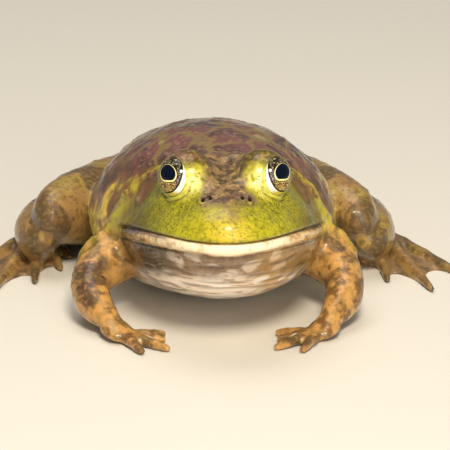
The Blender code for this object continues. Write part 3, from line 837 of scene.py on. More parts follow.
def paintMasks(points, normals):
    # how much of each marking, and of the painted shade and highlights, a point has, from 0 to 1
    across, behind, up = points.T
    off = np.abs(across)
    above = up - mouthLine(behind)
    band = lipBand(across, behind)
    wander = noiseAt(points, 7.0, 11.0)
    ripple = noiseAt(points, 2.5, 12.0)
    outer = ramp(18, 30, off)
    topOfHead = ramp(44, 48, up) * ramp(17, 11, off)
    rightSide = ramp(0, -10, across)
    face = ramp(50, 40, behind + 2.5 * wander + 11 * topOfHead) * ramp(-0.25, 0.15, above)
    # the wrinkles' mask carries painted shade in the throat's wrinkles
    masks = {"wrinkleShade": wrinkleShadeMask, "crest": crestMask, "face": face}
    masks["tip"] = bell(np.hypot(across * 0.9, (up - 40.0) * 1.4), 5.6) * ramp(12, 3, behind)
    masks["jowl"] = ramp(15, 27, off + 2 * wander) * face
    masks["crown"] = (
        ramp(6.0, 13.5, behind + 2.2 * wander + 1.6 * ripple)
        * ramp(7.0, 4.4, off + 0.9 * wander + 0.9 * ripple - 0.5 * np.clip(19 - behind, 0, 5))
        * ramp(43.5, 45.5, up) * ramp(40, 34, behind + 2 * wander)
    )
    masks["bridge"] = bell(across, 5.2) * ramp(41.0, 44.5, up + 0.8 * ripple) * ramp(20, 14, behind)

    # lids, and the rims round the eyeballs
    lid, lift, nose = lidNearness(points)
    gap, lower = rimGap(points)
    masks["lidGold"] = (
        lid * ramp(35.0, 29.0, behind) * ramp(57.6, 55.6, up + 0.8 * ripple) * ramp(43.5, 45, up)
    )
    masks["lidInner"] = (
        bell(off - 6.0, 1.7) * bell(up - 52.8 + 0.8 * ripple, 1.7) * bell(behind - 27, 6.0)
    )
    # paler skin on the lid's inner face with a painted wet highlight over it
    masks["lidPaintedShine"] = masks["lidGold"] * bell(nose - 6.6, 2.4) * bell(lift + 0.6 + 0.8 * ripple, 3.2)
    masks["lidTop"] = lid * ramp(52.6, 54.8, up + 0.9 * ripple)
    masks["rimDark"] = ramp(0.28, 0.12, gap)
    masks["rimPale"] = bell(gap - 0.75, 0.42) * ramp(4.0, 1.0, lift)
    # painted shade in the fold below the lower lid
    masks["lidFoldShade"] = bell(gap - lids["fold"][0], 0.3) * lower

    # the pale lower lip and the mouth line over it
    masks["lip"] = (
        ramp(-0.15, -0.45, above) * ramp(-band - 0.5, -band - 0.05, above + 0.25 * ripple)
        * ramp(47.5, 45.0, behind)
    )
    masks["lipEdge"] = masks["lip"] * ramp(-band + 1.0, -band + 0.1, above + 0.5 * ripple)
    masks["lipEnd"] = masks["lip"] * ramp(14, 25, off + 2 * wander)
    masks["lipTail"] = masks["lip"] * ramp(22, 34, behind + 2 * ripple) * (0.25 + 0.75 * rightSide)
    # a thin grey violet strip just under the mouth line on the frog's right: painted shade under the upper
    # lip, tinted as a painted wet reflection
    masks["lipPaintedShade"] = (
        bell(above + 0.65 + 0.2 * ripple, 0.36) * ramp(-15, -19, across + wander) * ramp(40, 34, behind)
    )
    masks["mouthDark"] = (
        bell(above - 0.4 * outer, 0.24 + 0.62 * outer) * ramp(49.5, 47.0, behind) * (0.6 + 0.4 * outer)
    )

    # throat
    throat = ramp(-band - 0.1, -band - 0.5, above) * ramp(62, 50, behind) * (1 - limbMask)
    masks["throat"] = throat
    # painted shade on the throat just under the pale lower lip
    masks["jawPaintedShade"] = throat * ramp(-band - 3.0, -band - 0.5, above + ripple)
    # darker brown under the ends of the lip, stronger on the frog's right: partly its own colour, partly a
    # painted cast shadow
    masks["jawEndDarkAndShadow"] = (
        throat * ramp(12, 22, off) * ramp(12.0, 6.0, -above - band) * (0.4 + 0.6 * rightSide)
    )
    masks["lowThroat"] = ramp(10, 15.5, -above + 2.0 * wander)
    masks["goldSide"] = ramp(2, 14, across) * ramp(4, 11, -above + 0.3 * off)
    masks["oliveSide"] = ramp(-9, -22, across) + 0.6 * ramp(14, 24, across)

    # trunk and limbs
    masks["back"] = ramp(38, 45, up + 2.5 * wander + ramp(70, 140, behind) * 18)
    masks["flankHigh"] = np.maximum(ramp(20, 36, up), ramp(80, 110, behind))
    masks["belly"] = (
        ramp(0.05, -0.6, normals[:, 2]) * ramp(48, 58, behind) * ramp(17, 10, up) * ramp(140, 126, behind)
    )
    masks["arm"] = ramp(1.3, 1.05, armNear)
    masks["cheek"] = (
        bell(behind - 50.5 - 0.5 * ripple, 3.6) * ramp(38, 33, up) * ramp(12, 18, up) * ramp(20, 26, off)
        * (1 - 0.85 * masks["arm"])
    )
    masks["leg"] = np.maximum(ramp(1.25, 1.05, legNear), ramp(3.0, 1.6, footNear) * ramp(5, 3, up))
    masks["bars"] = 0.5 + 0.5 * np.sin(legShare * 2 * pi * 3.2 + 1.5 * wander + 0.8)
    masks["web"] = (
        ramp(1.2, 2.0, footNear) * ramp(1.9, 1.5, up) * (legNear > 1.2) * (behind > 58) * (off > 40)
    )

    # nostrils and ear drums
    slit, knob, ring, drum, drumRim = (np.zeros(len(points)) for _ in range(5))
    for side in (1, -1):
        arch, middle, upper = nostrilPlace(points, side)
        # the slit's near black colour is painted shade in its depth
        slit = np.maximum(slit, ramp(0.62, 0.38, arch) * upper * (middle < 4))
        knob = np.maximum(knob, bell(middle, 1.0))
        ring = np.maximum(ring, bell(middle - 2.3, 1.0))
        away = np.linalg.norm(points - onSide(ear["centre"], side), axis=1)
        drum = np.maximum(drum, ramp(ear["radius"] + 0.2, ear["radius"] - 0.6, away))
        drumRim = np.maximum(drumRim, bell(away - ear["radius"] - 0.2, 0.8))
    masks.update(nostril=slit, nostrilKnob=knob, nostrilRing=ring, drum=drum, drumRim=drumRim)
    outward = off - nostril["centre"][0]
    rise = (points - nostril["centre"]) @ (0, *nostril["upSnout"])
    wing = np.hypot((outward - 1.1) * 1.5, (rise + 1.0) * 0.8)
    masks["nostrilWing"] = bell(wing, 0.75) * ramp(18, 16, behind)
    # dark specks gather round the nostrils and under the eyes
    speckled = 0.9 * bell(np.hypot(off - 9.0, behind - 14.0), 6.0)
    speckled += 0.6 * bell(np.hypot(off - 17, behind - 22), 8.0)
    masks["specks"] = (
        np.clip(0.05 + speckled, 0, 1) * face * ramp(35, 40, up) * (1 - 0.7 * masks["lidGold"])
    )
    return masks


normals = readNormals(skin.data)
masks = paintMasks(points, normals)
# painted shade in the creases: the hollower a point, the darker its colour
pull = toNeighbours(points, edges)
masks["creaseShade"] = ramp(0.008, 0.06, (pull * normals).sum(axis=1))
for name, values in masks.items():
    layer = skin.data.attributes.new(name, "FLOAT", "POINT")
    layer.data.foreach_set("value", np.clip(values, 0, 1).astype(np.float32))
print("stored", len(masks), "colour masks")


def linear(code):
    # sRGB hex to the linear colour that a shader takes
    channels = [int(code[i:i + 2], 16) / 255 for i in (1, 3, 5)]
    return (*[c / 12.92 if c <= 0.04045 else ((c + 0.055) / 1.055) ** 2.4 for c in channels], 1.0)


def addNode(tree, kind, inputs=None, out=0, **settings):
    node = tree.nodes.new(kind)
    for name, value in settings.items():
        setattr(node, name, value)
    for name, value in (inputs or {}).items():
        socket = node.inputs[name]
        if isinstance(value, bpy.types.NodeSocket):
            tree.links.new(value, socket)
        else:
            socket.default_value = linear(value) if isinstance(value, str) else value
    return node.outputs[out] if node.outputs else node


def newMaterial(name):
    material = bpy.data.materials.new(name)
    material.use_nodes = True
    tree = material.node_tree
    tree.nodes.clear()
    return material, tree


def product(tree, signals, amounts):
    # an amount is a number, a signal, or (signal, low, high) for a smooth step from 0 at low to 1 at high
    factor = None
    for amount in amounts:
        if isinstance(amount, str):
            amount = signals[amount]
        elif isinstance(amount, tuple):
            name, low, high = amount
            amount = addNode(tree, "ShaderNodeMapRange", {
                "Value": signals[name], "From Min": low, "From Max": high, "To Min": 0.0, "To Max": 1.0,
            }, interpolation_type="SMOOTHSTEP")
        if factor is None:
            factor = amount
        else:
            factor = addNode(tree, "ShaderNodeMath", {0: factor, 1: amount}, operation="MULTIPLY")
    return factor


def layered(tree, signals, colours, ground, layers):
    # lays colours one over another, each by the product of its amounts
    colour = colours[ground]
    for name, *amounts in layers:
        inputs = {0: product(tree, signals, amounts), 6: colour, 7: colours[name]}
        colour = addNode(tree, "ShaderNodeMix", inputs, out=2, data_type="RGBA")
    return colour


skinLook = {
    "colours": {
        "snoutYellow": "#D6C232", "snoutGold": "#CE9E28", "wingYellow": "#D8C42A",
        "faceGreen": "#8E8D06", "facePale": "#B8B224", "faceDark": "#5E5A0C",
        "cheekYellow": "#A6A03A", "jowlOlive": "#54460A",
        "crownBrown": "#7E6440", "crownDark": "#463229", "crownPale": "#B8946C", "inkBrown": "#33221F",
        # the pale yellow white of the lids is paler skin with a painted highlight
        "lidGold": "#A8A01C", "shinePale": "#F6F29C", "lidBrown": "#453010", "rimPale": "#C6C84C",
        "ink": "#1C120E", "speck": "#40302A", "mouth": "#4A2C14", "mouthEnd": "#2A1D22",
        "lipCream": "#F3E4C6", "lipOchre": "#C2912F", "lipTan": "#D2A95A", "lipTail": "#4A3814",
        # the grey violet of painted shade and reflection under the upper lip
        "lipPaintedShade": "#6F6474",
        "throatBrown": "#91765A", "throatDark": "#543F2B", "throatPale": "#D3C3B1", "jawBrown": "#38270D",
        "lowCream": "#FFEFDC", "lowTan": "#BE9878", "goldTan": "#C89A4A", "olive": "#5A5424",
        "spotWhite": "#FDF6EA",
        "netYellow": "#806A3E", "netPale": "#A49460",
        "blotch": "#704640", "blotchDark": "#45302C", "blotchPale": "#94746A",
        "flankGreen": "#9A8E2E", "flankYellow": "#CBAC4C", "flankPale": "#E0C452",
        "bellyCream": "#E9DFC6", "bellyGrey": "#A79B84", "drumBrown": "#6A5430",
        "armGold": "#B98C4E", "armBrown": "#71502C", "legTan": "#957546", "legBar": "#4A3C2A",
        "webBrown": "#866A4A",
    },
    # clouds of colour: size in millimetres, detail, and a shift that keeps two of them apart
    "clouds": {
        "broad": (11.0, 2.0, 0.0), "middle": (4.0, 3.0, 0.0), "fine": (1.4, 3.0, 0.0),
        "tiny": (0.8, 2.0, 0.0), "patchy": (2.6, 2.0, 31.0),
    },
    # clouds drawn out: size in millimetres along each axis, turn, detail, distortion
    "streaks": {
        "slant": ((5.0, 8.0, 16.0), (0.5, 0.3, 0.0), 2.5, 0.4),
        "hanging": ((9.0, 9.0, 1.1), (0.0, 0.0, 0.0), 3.0, 0.0),
    },
    # cells: spacing in millimetres, how far a slow noise bends them, and what is measured
    "cells": {
        "blotchEdge": (14.0, 13.0, "DISTANCE_TO_EDGE"),
        "netCells": (8.0, 6.0, "F1"),
        "throatSpots": (6.5, 6.0, "F1"),
        "lowSpots": (6.0, 6.0, "F1"),
        "granules": (1.1, 0.0, "F1"),     # real ones are finer; these are coarse enough to show
    },
    "bendSize": 8.0,
    # a signal to which a share of another is added
    "sums": {
        "highSlant": ("slant", "flankHigh", 0.14),
        "brokenBars": ("bars", "middle", 0.7),
        "pits": ("granules", "fine", 0.9),
        "dullness": ("sheen", "jowl", 0.25),
    },
    # dark specks 0.3 to 0.6 mm wide, thickest round the nostrils: spacing, radius in shares of it
    "specks": {"smallSpecks": (0.8, 0.34), "middleSpecks": (1.3, 0.27), "largeSpecks": (2.4, 0.19)},
    "roughness": (0.3, 0.52),   # it wanders between these with the middle clouds
    "ior": 1.36,
    "coat": 0.7,                # the wet film of mucus
    "coatRoughness": 0.16,
    "coatIor": 1.34,
    "bump": 0.7,
    "grainDepth": 0.0001,       # metres
}

# each part's ground colour, then every colour laid over it with its amounts
skinParts = {
    # dark blotches 10 to 15 mm across in a thin net of olive yellow
    "back": ("netYellow", [
        ("blotch", ("blotchEdge", 0.02, 0.12)),
        ("blotchDark", ("broad", 0.44, 0.58), ("blotchEdge", 0.02, 0.12), 0.9),
        ("netYellow", ("middle", 0.58, 0.7), 0.4),
        ("blotchPale", ("fine", 0.54, 0.64), ("blotchEdge", 0.02, 0.12), 0.65),
        ("netPale", ("netCells", 0.24, 0.14), 0.55),
    ]),
    # yellow green with slanting brown blotches
    "highFlank": ("flankGreen", [("flankYellow", ("middle", 0.4, 0.62))]),
    "flank": ("flankPale", [
        ("highFlank", ("flankHigh", -0.3, 1.1)),
        ("blotch", ("highSlant", 0.48, 0.6), 0.9),
        ("blotchDark", ("highSlant", 0.6, 0.74), 0.7),
        ("faceDark", ("fine", 0.5, 0.64), 0.35),
    ]),
    "belly": ("bellyCream", [("bellyGrey", ("middle", 0.5, 0.62), 0.8)]),
    "arms": ("armGold", [
        ("armBrown", ("middle", 0.44, 0.6)),
        ("blotchDark", ("broad", 0.56, 0.64), 0.8),
        ("armGold", ("fine", 0.56, 0.66), 0.5),
        ("olive", ("patchy", 0.46, 0.6), 0.35),
    ]),
    "legs": ("legTan", [
        ("flankGreen", ("broad", 0.45, 0.7), 0.5),
        ("legBar", ("brokenBars", 0.9, 1.16), ("fine", 0.66, 0.5), 0.85),
        ("legBar", ("fine", 0.54, 0.66), 0.55),
        ("armBrown", ("patchy", 0.52, 0.62), 0.5),
    ]),
    "webs": ("webBrown", [("legBar", ("middle", 0.45, 0.62), 0.7)]),
    # green mottled pale and dark, yellow at the snout, olive towards the corners of the mouth
    "face": ("faceGreen", [
        ("facePale", ("broad", 0.42, 0.66), 0.5),
        ("snoutYellow", "tip", 0.75),
        ("snoutGold", "tip", ("fine", 0.45, 0.6), 0.7),
        ("facePale", ("fine", 0.52, 0.64), 0.5),
        ("faceDark", ("fine", 0.49, 0.36), 0.4),
        ("faceDark", ("tiny", 0.52, 0.64), 0.5),
        ("jowlOlive", "jowl", ("patchy", 0.1, 0.5), 0.9),
    ]),
    "crown": ("crownBrown", [
        ("crownDark", ("patchy", 0.44, 0.58), 0.9),
        ("netYellow", ("fine", 0.52, 0.64), 0.6),
        ("blotch", ("middle", 0.5, 0.62), 0.5),
        ("crownPale", ("patchy", 0.5, 0.4), ("tiny", 0.52, 0.62), 0.7),
        ("inkBrown", ("patchy", 0.54, 0.62), ("tiny", 0.46, 0.56), 0.9),
    ]),
    "lidTop": ("lidBrown", [("blotch", ("patchy", 0.5, 0.62)), ("lidGold", ("fine", 0.5, 0.62), 0.35)]),
    "drum": ("drumBrown", [("blotch", ("patchy", 0.42, 0.58), 0.8)]),
    # brown with pale round spots, painted shade in its wrinkles and just under the lip, streaked cream
    # lower down
    "lowThroat": ("lowCream", [
        ("lowTan", ("hanging", 0.5, 0.6), 0.9),
        ("goldTan", "goldSide", 0.8),
        ("spotWhite", ("lowSpots", 0.44, 0.32), 0.9),
    ]),
    "throat": ("throatBrown", [
        ("olive", "oliveSide", 0.55),
        ("throatDark", ("fine", 0.45, 0.62), 0.5),
        ("throatPale", ("throatSpots", 0.54, 0.32), ("patchy", 0.3, 0.44), 0.95),
        # painted shade under the lip
        ("throatDark", "jawPaintedShade", 0.4),
        ("goldTan", "goldSide", 0.45),
        ("lowThroat", "lowThroat"),
        # painted shade in the wrinkles' valleys
        ("throatDark", "wrinkleShade", 0.7),
        # darker brown with a painted cast shadow under the lip's ends
        ("jawBrown", "jawEndDarkAndShadow", ("patchy", 0.24, 0.44)),
    ]),
    "lip": ("lipCream", [
        ("lipOchre", "lipEdge", 0.7),
        ("lipOchre", ("patchy", 0.56, 0.66), 0.5),
        ("lipTan", "lipEnd", 0.8),
        ("lipOchre", "lipEnd", ("middle", 0.4, 0.52), 0.8),
        ("crownDark", "lipEnd", ("patchy", 0.52, 0.6), 0.85),
        ("lipCream", "lipEnd", ("fine", 0.56, 0.64), 0.7),
        ("lipTail", "lipTail", ("patchy", 0.2, 0.42)),
        # painted shade and reflection under the upper lip
        ("lipPaintedShade", "lipPaintedShade", 0.8),
    ]),
    "mouthLine": ("mouth", [("mouthEnd", "jowl")]),
    "whole": ("flank", [
        ("back", "back"), ("belly", "belly"), ("arms", "arm"), ("legs", "leg"), ("webs", "web"),
        ("face", "face"),
        ("crownBrown", "bridge", ("patchy", 0.3, 0.6), 0.8),
        ("lidGold", "lidGold", 0.9),
        ("facePale", "lidGold", ("fine", 0.45, 0.6), 0.6),
        # painted highlight on the lids' paler skin
        ("shinePale", "lidPaintedShine", ("fine", 0.34, 0.5)),
        ("crown", "crown", 0.95),
        ("lidTop", "lidTop", 0.92),
        ("blotchDark", "lidInner", ("patchy", 0.34, 0.46), 0.9),
        ("facePale", "crest", ("fine", 0.4, 0.55), 0.6),
        ("cheekYellow", "cheek", ("middle", 0.36, 0.52), 0.8),
        ("drum", "drum", 0.85),
        ("blotchDark", "drumRim", ("middle", 0.35, 0.55), 0.7),
        ("speck", "smallSpecks", 0.75), ("speck", "middleSpecks", 0.75), ("speck", "largeSpecks", 0.75),
        ("crownDark", "nostrilRing", ("fine", 0.46, 0.54), 0.8),
        ("crownDark", "nostrilKnob", 0.75),
        ("wingYellow", "nostrilWing", 0.6),
        ("throat", "throat"),
        ("lip", "lip"),
        # painted shade in the creases
        ("crownDark", "creaseShade", 0.35),
        ("mouthLine", "mouthDark"),
        ("rimPale", "rimPale", 0.85),
        # painted shade in the fold under the lower lid
        ("throatDark", "lidFoldShade", 0.5),
        ("ink", "rimDark", 0.9),
        # painted shade in the nostrils' slits
        ("ink", "nostril"),
    ]),
}


def frogSkin():
    # Living amphibian skin, granular and wet: broken colour, with painted shade in its creases, folds,
    # wrinkles and nostrils and a painted highlight on the lids, under a thin bright film.
    look = skinLook
    material, tree = newMaterial("frogSkin")
    where = addNode(tree, "ShaderNodeTexCoord", out="Object")
    place = addNode(tree, "ShaderNodeVectorMath", {0: where, "Scale": 1.0 / mm}, operation="SCALE")
    signals = {name: addNode(tree, "ShaderNodeAttribute", attribute_name=name, out="Fac") for name in masks}

    for name, (size, detail, shift) in look["clouds"].items():
        step = (shift, -shift, shift * 0.6)
        shifted = addNode(tree, "ShaderNodeVectorMath", {0: place, 1: step}, operation="ADD")
        inputs = {"Vector": shifted, "Scale": 1.0 / size, "Detail": detail}
        signals[name] = addNode(tree, "ShaderNodeTexNoise", inputs)
    for name, (sizes, turn, detail, distortion) in look["streaks"].items():
        inputs = {"Vector": place, "Rotation": turn, "Scale": sizes}
        drawn = addNode(tree, "ShaderNodeMapping", inputs, vector_type="TEXTURE")
        inputs = {"Vector": drawn, "Scale": 1.0, "Detail": detail, "Distortion": distortion}
        signals[name] = addNode(tree, "ShaderNodeTexNoise", inputs)

    slow = {"Vector": place, "Scale": 1.0 / look["bendSize"], "Detail": 2.0}
    warp = addNode(tree, "ShaderNodeTexNoise", slow, out="Color")
    warp = addNode(tree, "ShaderNodeVectorMath", {0: warp, 1: (-0.5, -0.5, -0.5)}, operation="ADD")
    for name, (size, reach, feature) in look["cells"].items():
        bend = addNode(tree, "ShaderNodeVectorMath", {0: warp, "Scale": reach}, operation="SCALE")
        bent = addNode(tree, "ShaderNodeVectorMath", {0: bend, 1: place}, operation="ADD")
        inputs = {"Vector": bent, "Scale": 1.0 / size}
        signals[name] = addNode(tree, "ShaderNodeTexVoronoi", inputs, out="Distance", feature=feature)

    for name, (size, radius) in look["specks"].items():
        step = (size * 7.0, -size * 7.0, size * 7.0 * 0.6)
        shifted = addNode(tree, "ShaderNodeVectorMath", {0: place, 1: step}, operation="ADD")
        inputs = {"Vector": shifted, "Scale": 1.0 / size}
        signals["dots"] = addNode(tree, "ShaderNodeTexVoronoi", inputs, out="Distance")
        # each dot has a chance of its own, and shows where the mask is above it
        chance = addNode(tree, "ShaderNodeSeparateColor", {0: signals["dots"].node.outputs["Color"]})
        inputs = {0: signals["specks"], 1: chance}
        signals["shown"] = addNode(tree, "ShaderNodeMath", inputs, operation="GREATER_THAN")
        signals[name] = product(tree, signals, (("dots", radius, radius - 0.1), "shown"))

    dull, duller = look["roughness"]
    signals["sheen"] = addNode(tree, "ShaderNodeMapRange", {
        "Value": signals["middle"], "From Min": 0.3, "From Max": 0.7, "To Min": dull, "To Max": duller,
    })
    for name, (first, second, share) in look["sums"].items():
        inputs = {0: signals[first], 1: product(tree, signals, (second, share))}
        signals[name] = addNode(tree, "ShaderNodeMath", inputs, operation="ADD")

    colours = dict(look["colours"])
    for part, (ground, layers) in skinParts.items():
        colours[part] = layered(tree, signals, colours, ground, layers)
    # granules, fainter at the tip of the snout, under the wet film
    bump = addNode(tree, "ShaderNodeBump", {
        "Height": product(tree, signals, ("pits", ("tip", 1.6, 0.0))),
        "Strength": look["bump"], "Distance": look["grainDepth"],
    })
    shader = addNode(tree, "ShaderNodeBsdfPrincipled", {
        "Base Color": colours["whole"], "Normal": bump,
        "Roughness": signals["dullness"], "IOR": look["ior"],
        "Coat Weight": look["coat"], "Coat Roughness": look["coatRoughness"], "Coat IOR": look["coatIor"],
    })
    addNode(tree, "ShaderNodeOutputMaterial", {"Surface": shader})
    return material


eyeLook = {
    # places are towards the nose and up from the gaze, millimetres
    "pupilCentre": (0.45, 0.4),
    "pupilHalf": (3.0, 2.4),
    "pupilTurn": radians(-16),
    "pupilChin": 2.2,              # the pupil's underside is flatter than its top
    "chinTurn": radians(12),
    "chinRound": 0.25,
    "ring": 0.24,                  # width of the pale ring round the pupil
    "ringCentre": (0.5, 0.25),
    "line": 1.55,                  # a dark line circles the pupil at this many times its size
    "lineWidth": 0.12,
    "irisCentre": (-0.7, 0.1),
    "irisRadius": 5.48,
    "edge": 0.24,                  # dark edge of the iris
    "fleck": 0.42,
    "cloud": 0.9,                  # clouds to the millimetre
    "colours": {
        # the pupil's dark navy is black with a painted tint of reflected blue sky
        "pupil": "#020A1E", "ringPale": "#F1EAA6", "irisDark": "#17120C", "irisGold": "#A98A3C",
        # the iris's blue grey is a painted reflection of the sky
        "irisGrey": "#857B60", "irisPale": "#D9C68A", "irisSkyReflection": "#7C7C8C", "edgeDark": "#100B08",
        "marginPale": "#F6F1EC", "marginGold": "#D8C45C", "marginGreen": "#B9CFA0",
    },
    "roughness": 0.1,
    "ior": 1.376,
    "flat": 1e6,                   # flattens the third axis
}


def wetEye():
    # A living eye: a black pupil tinted navy by a painted sky reflection, a gold-flecked iris and a smooth
    # wet surface that mirrors the light.
    look = eyeLook
    material, tree = newMaterial("wetEye")
    at = addNode(tree, "ShaderNodeAttribute", attribute_name="eyePlace", out="Vector")
    axes = addNode(tree, "ShaderNodeSeparateXYZ", {0: at}).node.outputs
    signals = {"across": axes["X"], "up": axes["Y"]}

    def ovalOf(centre, halves, turn=0.0, chin=0.0):
        # 1 on the oval's rim, 0 at its middle; a chin is a flat underside that far below the middle
        placed = addNode(tree, "ShaderNodeMapping", {
            "Vector": at, "Location": (*centre, 0.0), "Rotation": (0.0, 0.0, turn),
            "Scale": (*halves, look["flat"]),
        }, vector_type="TEXTURE")
        oval = addNode(tree, "ShaderNodeVectorMath", {0: placed}, out="Value", operation="LENGTH")
        if not chin:
            return oval
        away = addNode(tree, "ShaderNodeVectorMath", {0: at, 1: (*centre, 0.0)}, operation="SUBTRACT")
        down = (sin(look["chinTurn"]) / chin, -cos(look["chinTurn"]) / chin, 0.0)
        inputs = {0: away, 1: down}
        below = addNode(tree, "ShaderNodeVectorMath", inputs, out="Value", operation="DOT_PRODUCT")
        inputs = {0: oval, 1: below, 2: look["chinRound"]}
        return addNode(tree, "ShaderNodeMath", inputs, operation="SMOOTH_MAX")

    halves = [half + look["ring"] for half in look["pupilHalf"]]
    turn, chin = look["pupilTurn"], look["pupilChin"]
    signals["pupil"] = ovalOf(look["pupilCentre"], look["pupilHalf"], turn, chin)
    signals["ring"] = ovalOf(look["ringCentre"], halves, turn, chin + look["ring"])
    signals["iris"] = ovalOf(look["irisCentre"], (look["irisRadius"], look["irisRadius"]))
    inputs = {"Vector": at, "Scale": 1 / look["fleck"], "Detail": 3.0, "Distortion": 1.0}
    signals["flecks"] = addNode(tree, "ShaderNodeTexNoise", inputs)
    inputs = {"Vector": at, "Scale": look["cloud"], "Detail": 1.0}
    signals["clouds"] = addNode(tree, "ShaderNodeTexNoise", inputs)
    inputs = {0: signals["up"], 1: look["pupilCentre"][1]}
    offBar = addNode(tree, "ShaderNodeMath", inputs, operation="SUBTRACT")
    signals["offBar"] = addNode(tree, "ShaderNodeMath", {0: offBar}, operation="ABSOLUTE")
    inputs = {0: signals["flecks"], 1: product(tree, signals, (("offBar", 0.6, 3.8), 0.09))}
    signals["golden"] = addNode(tree, "ShaderNodeMath", inputs, operation="ADD")

    # gold above and below the pupil, a painted blue grey sky reflection towards the nose at the pupil's
    # height, dark lines round the pupil
    line, lineIn, lineOut = look["line"], look["line"] - look["lineWidth"], look["line"] + look["lineWidth"]
    edge = 1 - look["edge"] / look["irisRadius"]
    parts = {
        "gold": ("irisGold", [("irisGrey", ("up", 1.0, 3.5))]),
        "margin": ("marginPale", [("marginGold", ("up", -3.8, -5.0)), ("marginGreen", ("up", 1.8, 3.0))]),
        "whole": ("irisDark", [
            ("gold", ("golden", 0.52, 0.6)),
            ("irisPale", ("golden", 0.62, 0.72), 0.8),
            ("irisDark", ("clouds", 0.45, 0.54), ("up", 0.0, 3.0), 0.9),
            ("irisSkyReflection", ("across", 2.6, 3.8), ("offBar", 2.6, 0.6), ("flecks", 0.4, 0.56), 0.8),
            ("edgeDark", ("pupil", lineIn, line), ("pupil", lineOut, line), ("clouds", 0.34, 0.44), 0.9),
            ("edgeDark", ("iris", edge - 0.03, edge + 0.01)),
            ("margin", ("iris", 1.0, 1.02)),
            ("edgeDark", ("ring", 1.12, 1.0), 0.9),
            ("ringPale", ("ring", 1.0, 0.96)),
            ("pupil", ("pupil", 1.0, 0.95)),
        ]),
    }
    colours = dict(look["colours"])
    for part, (ground, layers) in parts.items():
        colours[part] = layered(tree, signals, colours, ground, layers)
    shader = addNode(tree, "ShaderNodeBsdfPrincipled", {
        "Base Color": colours["whole"], "Roughness": look["roughness"], "IOR": look["ior"],
    })
    addNode(tree, "ShaderNodeOutputMaterial", {"Surface": shader})
    return material


def makeEye(name, side, material):
    # a globe whose poles lie on the gaze, with each point's place on its face stored for the iris
    centre = eyePoints(side)[0]
    gaze, nose, lift = eyeAxes(side)
    shellPoints, shellFaces = ballShell(centre, eye["radius"], (nose, lift, gaze), *eye["grid"])
    globe = newObject(name, toWorld(shellPoints), shellFaces)
    place = (shellPoints - centre) @ np.stack([nose, lift, gaze], axis=1)
    layer = globe.data.attributes.new("eyePlace", "FLOAT_VECTOR", "POINT")
    layer.data.foreach_set("vector", place.astype(np.float32).ravel())
    globe.data.materials.append(material)
    globe.data.shade_smooth()
    return globe


skin.data.materials.append(frogSkin())
eyeMaterial = wetEye()
eyes = [makeEye("eyeballLeft", 1, eyeMaterial), makeEye("eyeballRight", -1, eyeMaterial)]
print("materials ready")


stage = {
    "half": 3.0, "colour": "#D9D7D1", "roughness": 0.7,
    "sky": "#F4F1EA", "skyStrength": 0.24,
    "lampsAim": (0.0, -0.02, 0.03),
}

lamps = [   # place in metres, size, power, colour
    {"name": "keyLight", "at": (0.07, -0.78, 0.8), "size": 0.28, "watts": 12.3, "colour": "#FFF1DA"},
    {"name": "lowFill", "at": (0.3, -0.95, 0.16), "size": 0.7, "watts": 5.0, "colour": "#FFF3E4"},
    {"name": "topLight", "at": (-0.12, 0.2, 1.1), "size": 0.9, "watts": 5.5, "colour": "#FFF8EE"},
]

view = {
    "turn": radians(-2),      # round the frog from straight ahead, to its right
    "rise": radians(18),
    "distance": 1.15,
    "aim": (0.0, 20.0, 40.0),
    "aimWidth": 0.1286,       # metres across the frame at the aim
    "sensor": 36.0,
    "lipsAt": (0.0067, -0.0433),   # right of and above the frame's middle, in its width
    "clipStart": 0.05,
}


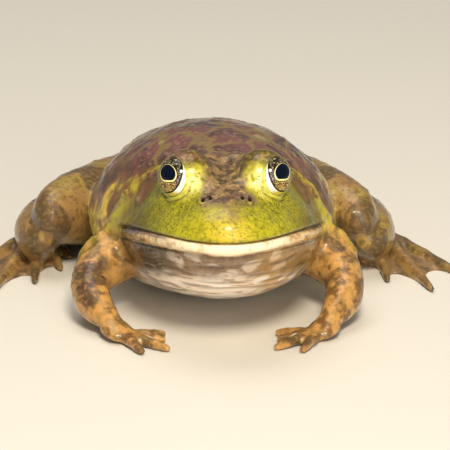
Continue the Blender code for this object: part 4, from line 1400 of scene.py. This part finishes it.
def makeFloor():
    half = stage["half"]
    corners = [(-half, -half, 0), (half, -half, 0), (half, half, 0), (-half, half, 0)]
    floor = newObject("floor", corners, [(0, 1, 2, 3)])
    # Matt paint, rolled on: pale and even, with no gloss that would double the frog.
    material, tree = newMaterial("paleMattPaint")
    inputs = {"Base Color": stage["colour"], "Roughness": stage["roughness"]}
    shader = addNode(tree, "ShaderNodeBsdfPrincipled", inputs)
    addNode(tree, "ShaderNodeOutputMaterial", {"Surface": shader})
    floor.data.materials.append(material)


def makeLamps():
    middle = Vector(stage["lampsAim"])
    for lamp in lamps:
        light = bpy.data.lights.new(lamp["name"], "AREA")
        light.shape = "DISK"
        light.size = lamp["size"]
        light.energy = lamp["watts"]
        light.color = linear(lamp["colour"])[:3]
        obj = bpy.data.objects.new(lamp["name"], light)
        obj.location = lamp["at"]
        obj.rotation_euler = (middle - obj.location).to_track_quat("-Z", "Y").to_euler()
        bpy.context.scene.collection.objects.link(obj)
    world = bpy.data.worlds.new("sky")
    world.use_nodes = True
    world.node_tree.nodes["Background"].inputs["Color"].default_value = linear(stage["sky"])
    world.node_tree.nodes["Background"].inputs["Strength"].default_value = stage["skyStrength"]
    bpy.context.scene.world = world


def makeCamera():
    turn, rise, distance = view["turn"], view["rise"], view["distance"]
    away = Vector((sin(turn) * cos(rise), -cos(turn) * cos(rise), sin(rise)))
    camera = bpy.data.objects.new("camera", bpy.data.cameras.new("camera"))
    camera.data.sensor_width = view["sensor"]
    camera.data.lens = view["sensor"] * distance / view["aimWidth"]
    camera.data.clip_start = view["clipStart"]
    camera.rotation_euler = (-away).to_track_quat("-Z", "Y").to_euler()
    camera.location = Vector(toWorld(view["aim"])) + away * distance
    # slide the camera in its own plane until the lips stand at their place in the frame
    turned = camera.rotation_euler.to_matrix()
    right, upward = turned.col[0], turned.col[1]
    lipPlace = Vector(toWorld((0.0, 0.0, mouth["tipHeight"]))) - camera.location
    depth = -lipPlace.dot(turned.col[2])
    across, above = (share * view["sensor"] / camera.data.lens * depth for share in view["lipsAt"])
    camera.location += right * (lipPlace.dot(right) - across) + upward * (lipPlace.dot(upward) - above)
    bpy.context.scene.collection.objects.link(camera)
    bpy.context.scene.camera = camera


makeFloor()
makeLamps()
makeCamera()
bpy.context.scene.view_settings.view_transform = "Standard"

flesh = [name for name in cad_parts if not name.startswith("eye_")]
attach(skin, "root")
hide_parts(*flesh)
for globe, node in zip(eyes, ("eye_left", "eye_right")):
    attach(globe, "root")
    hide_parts(node)
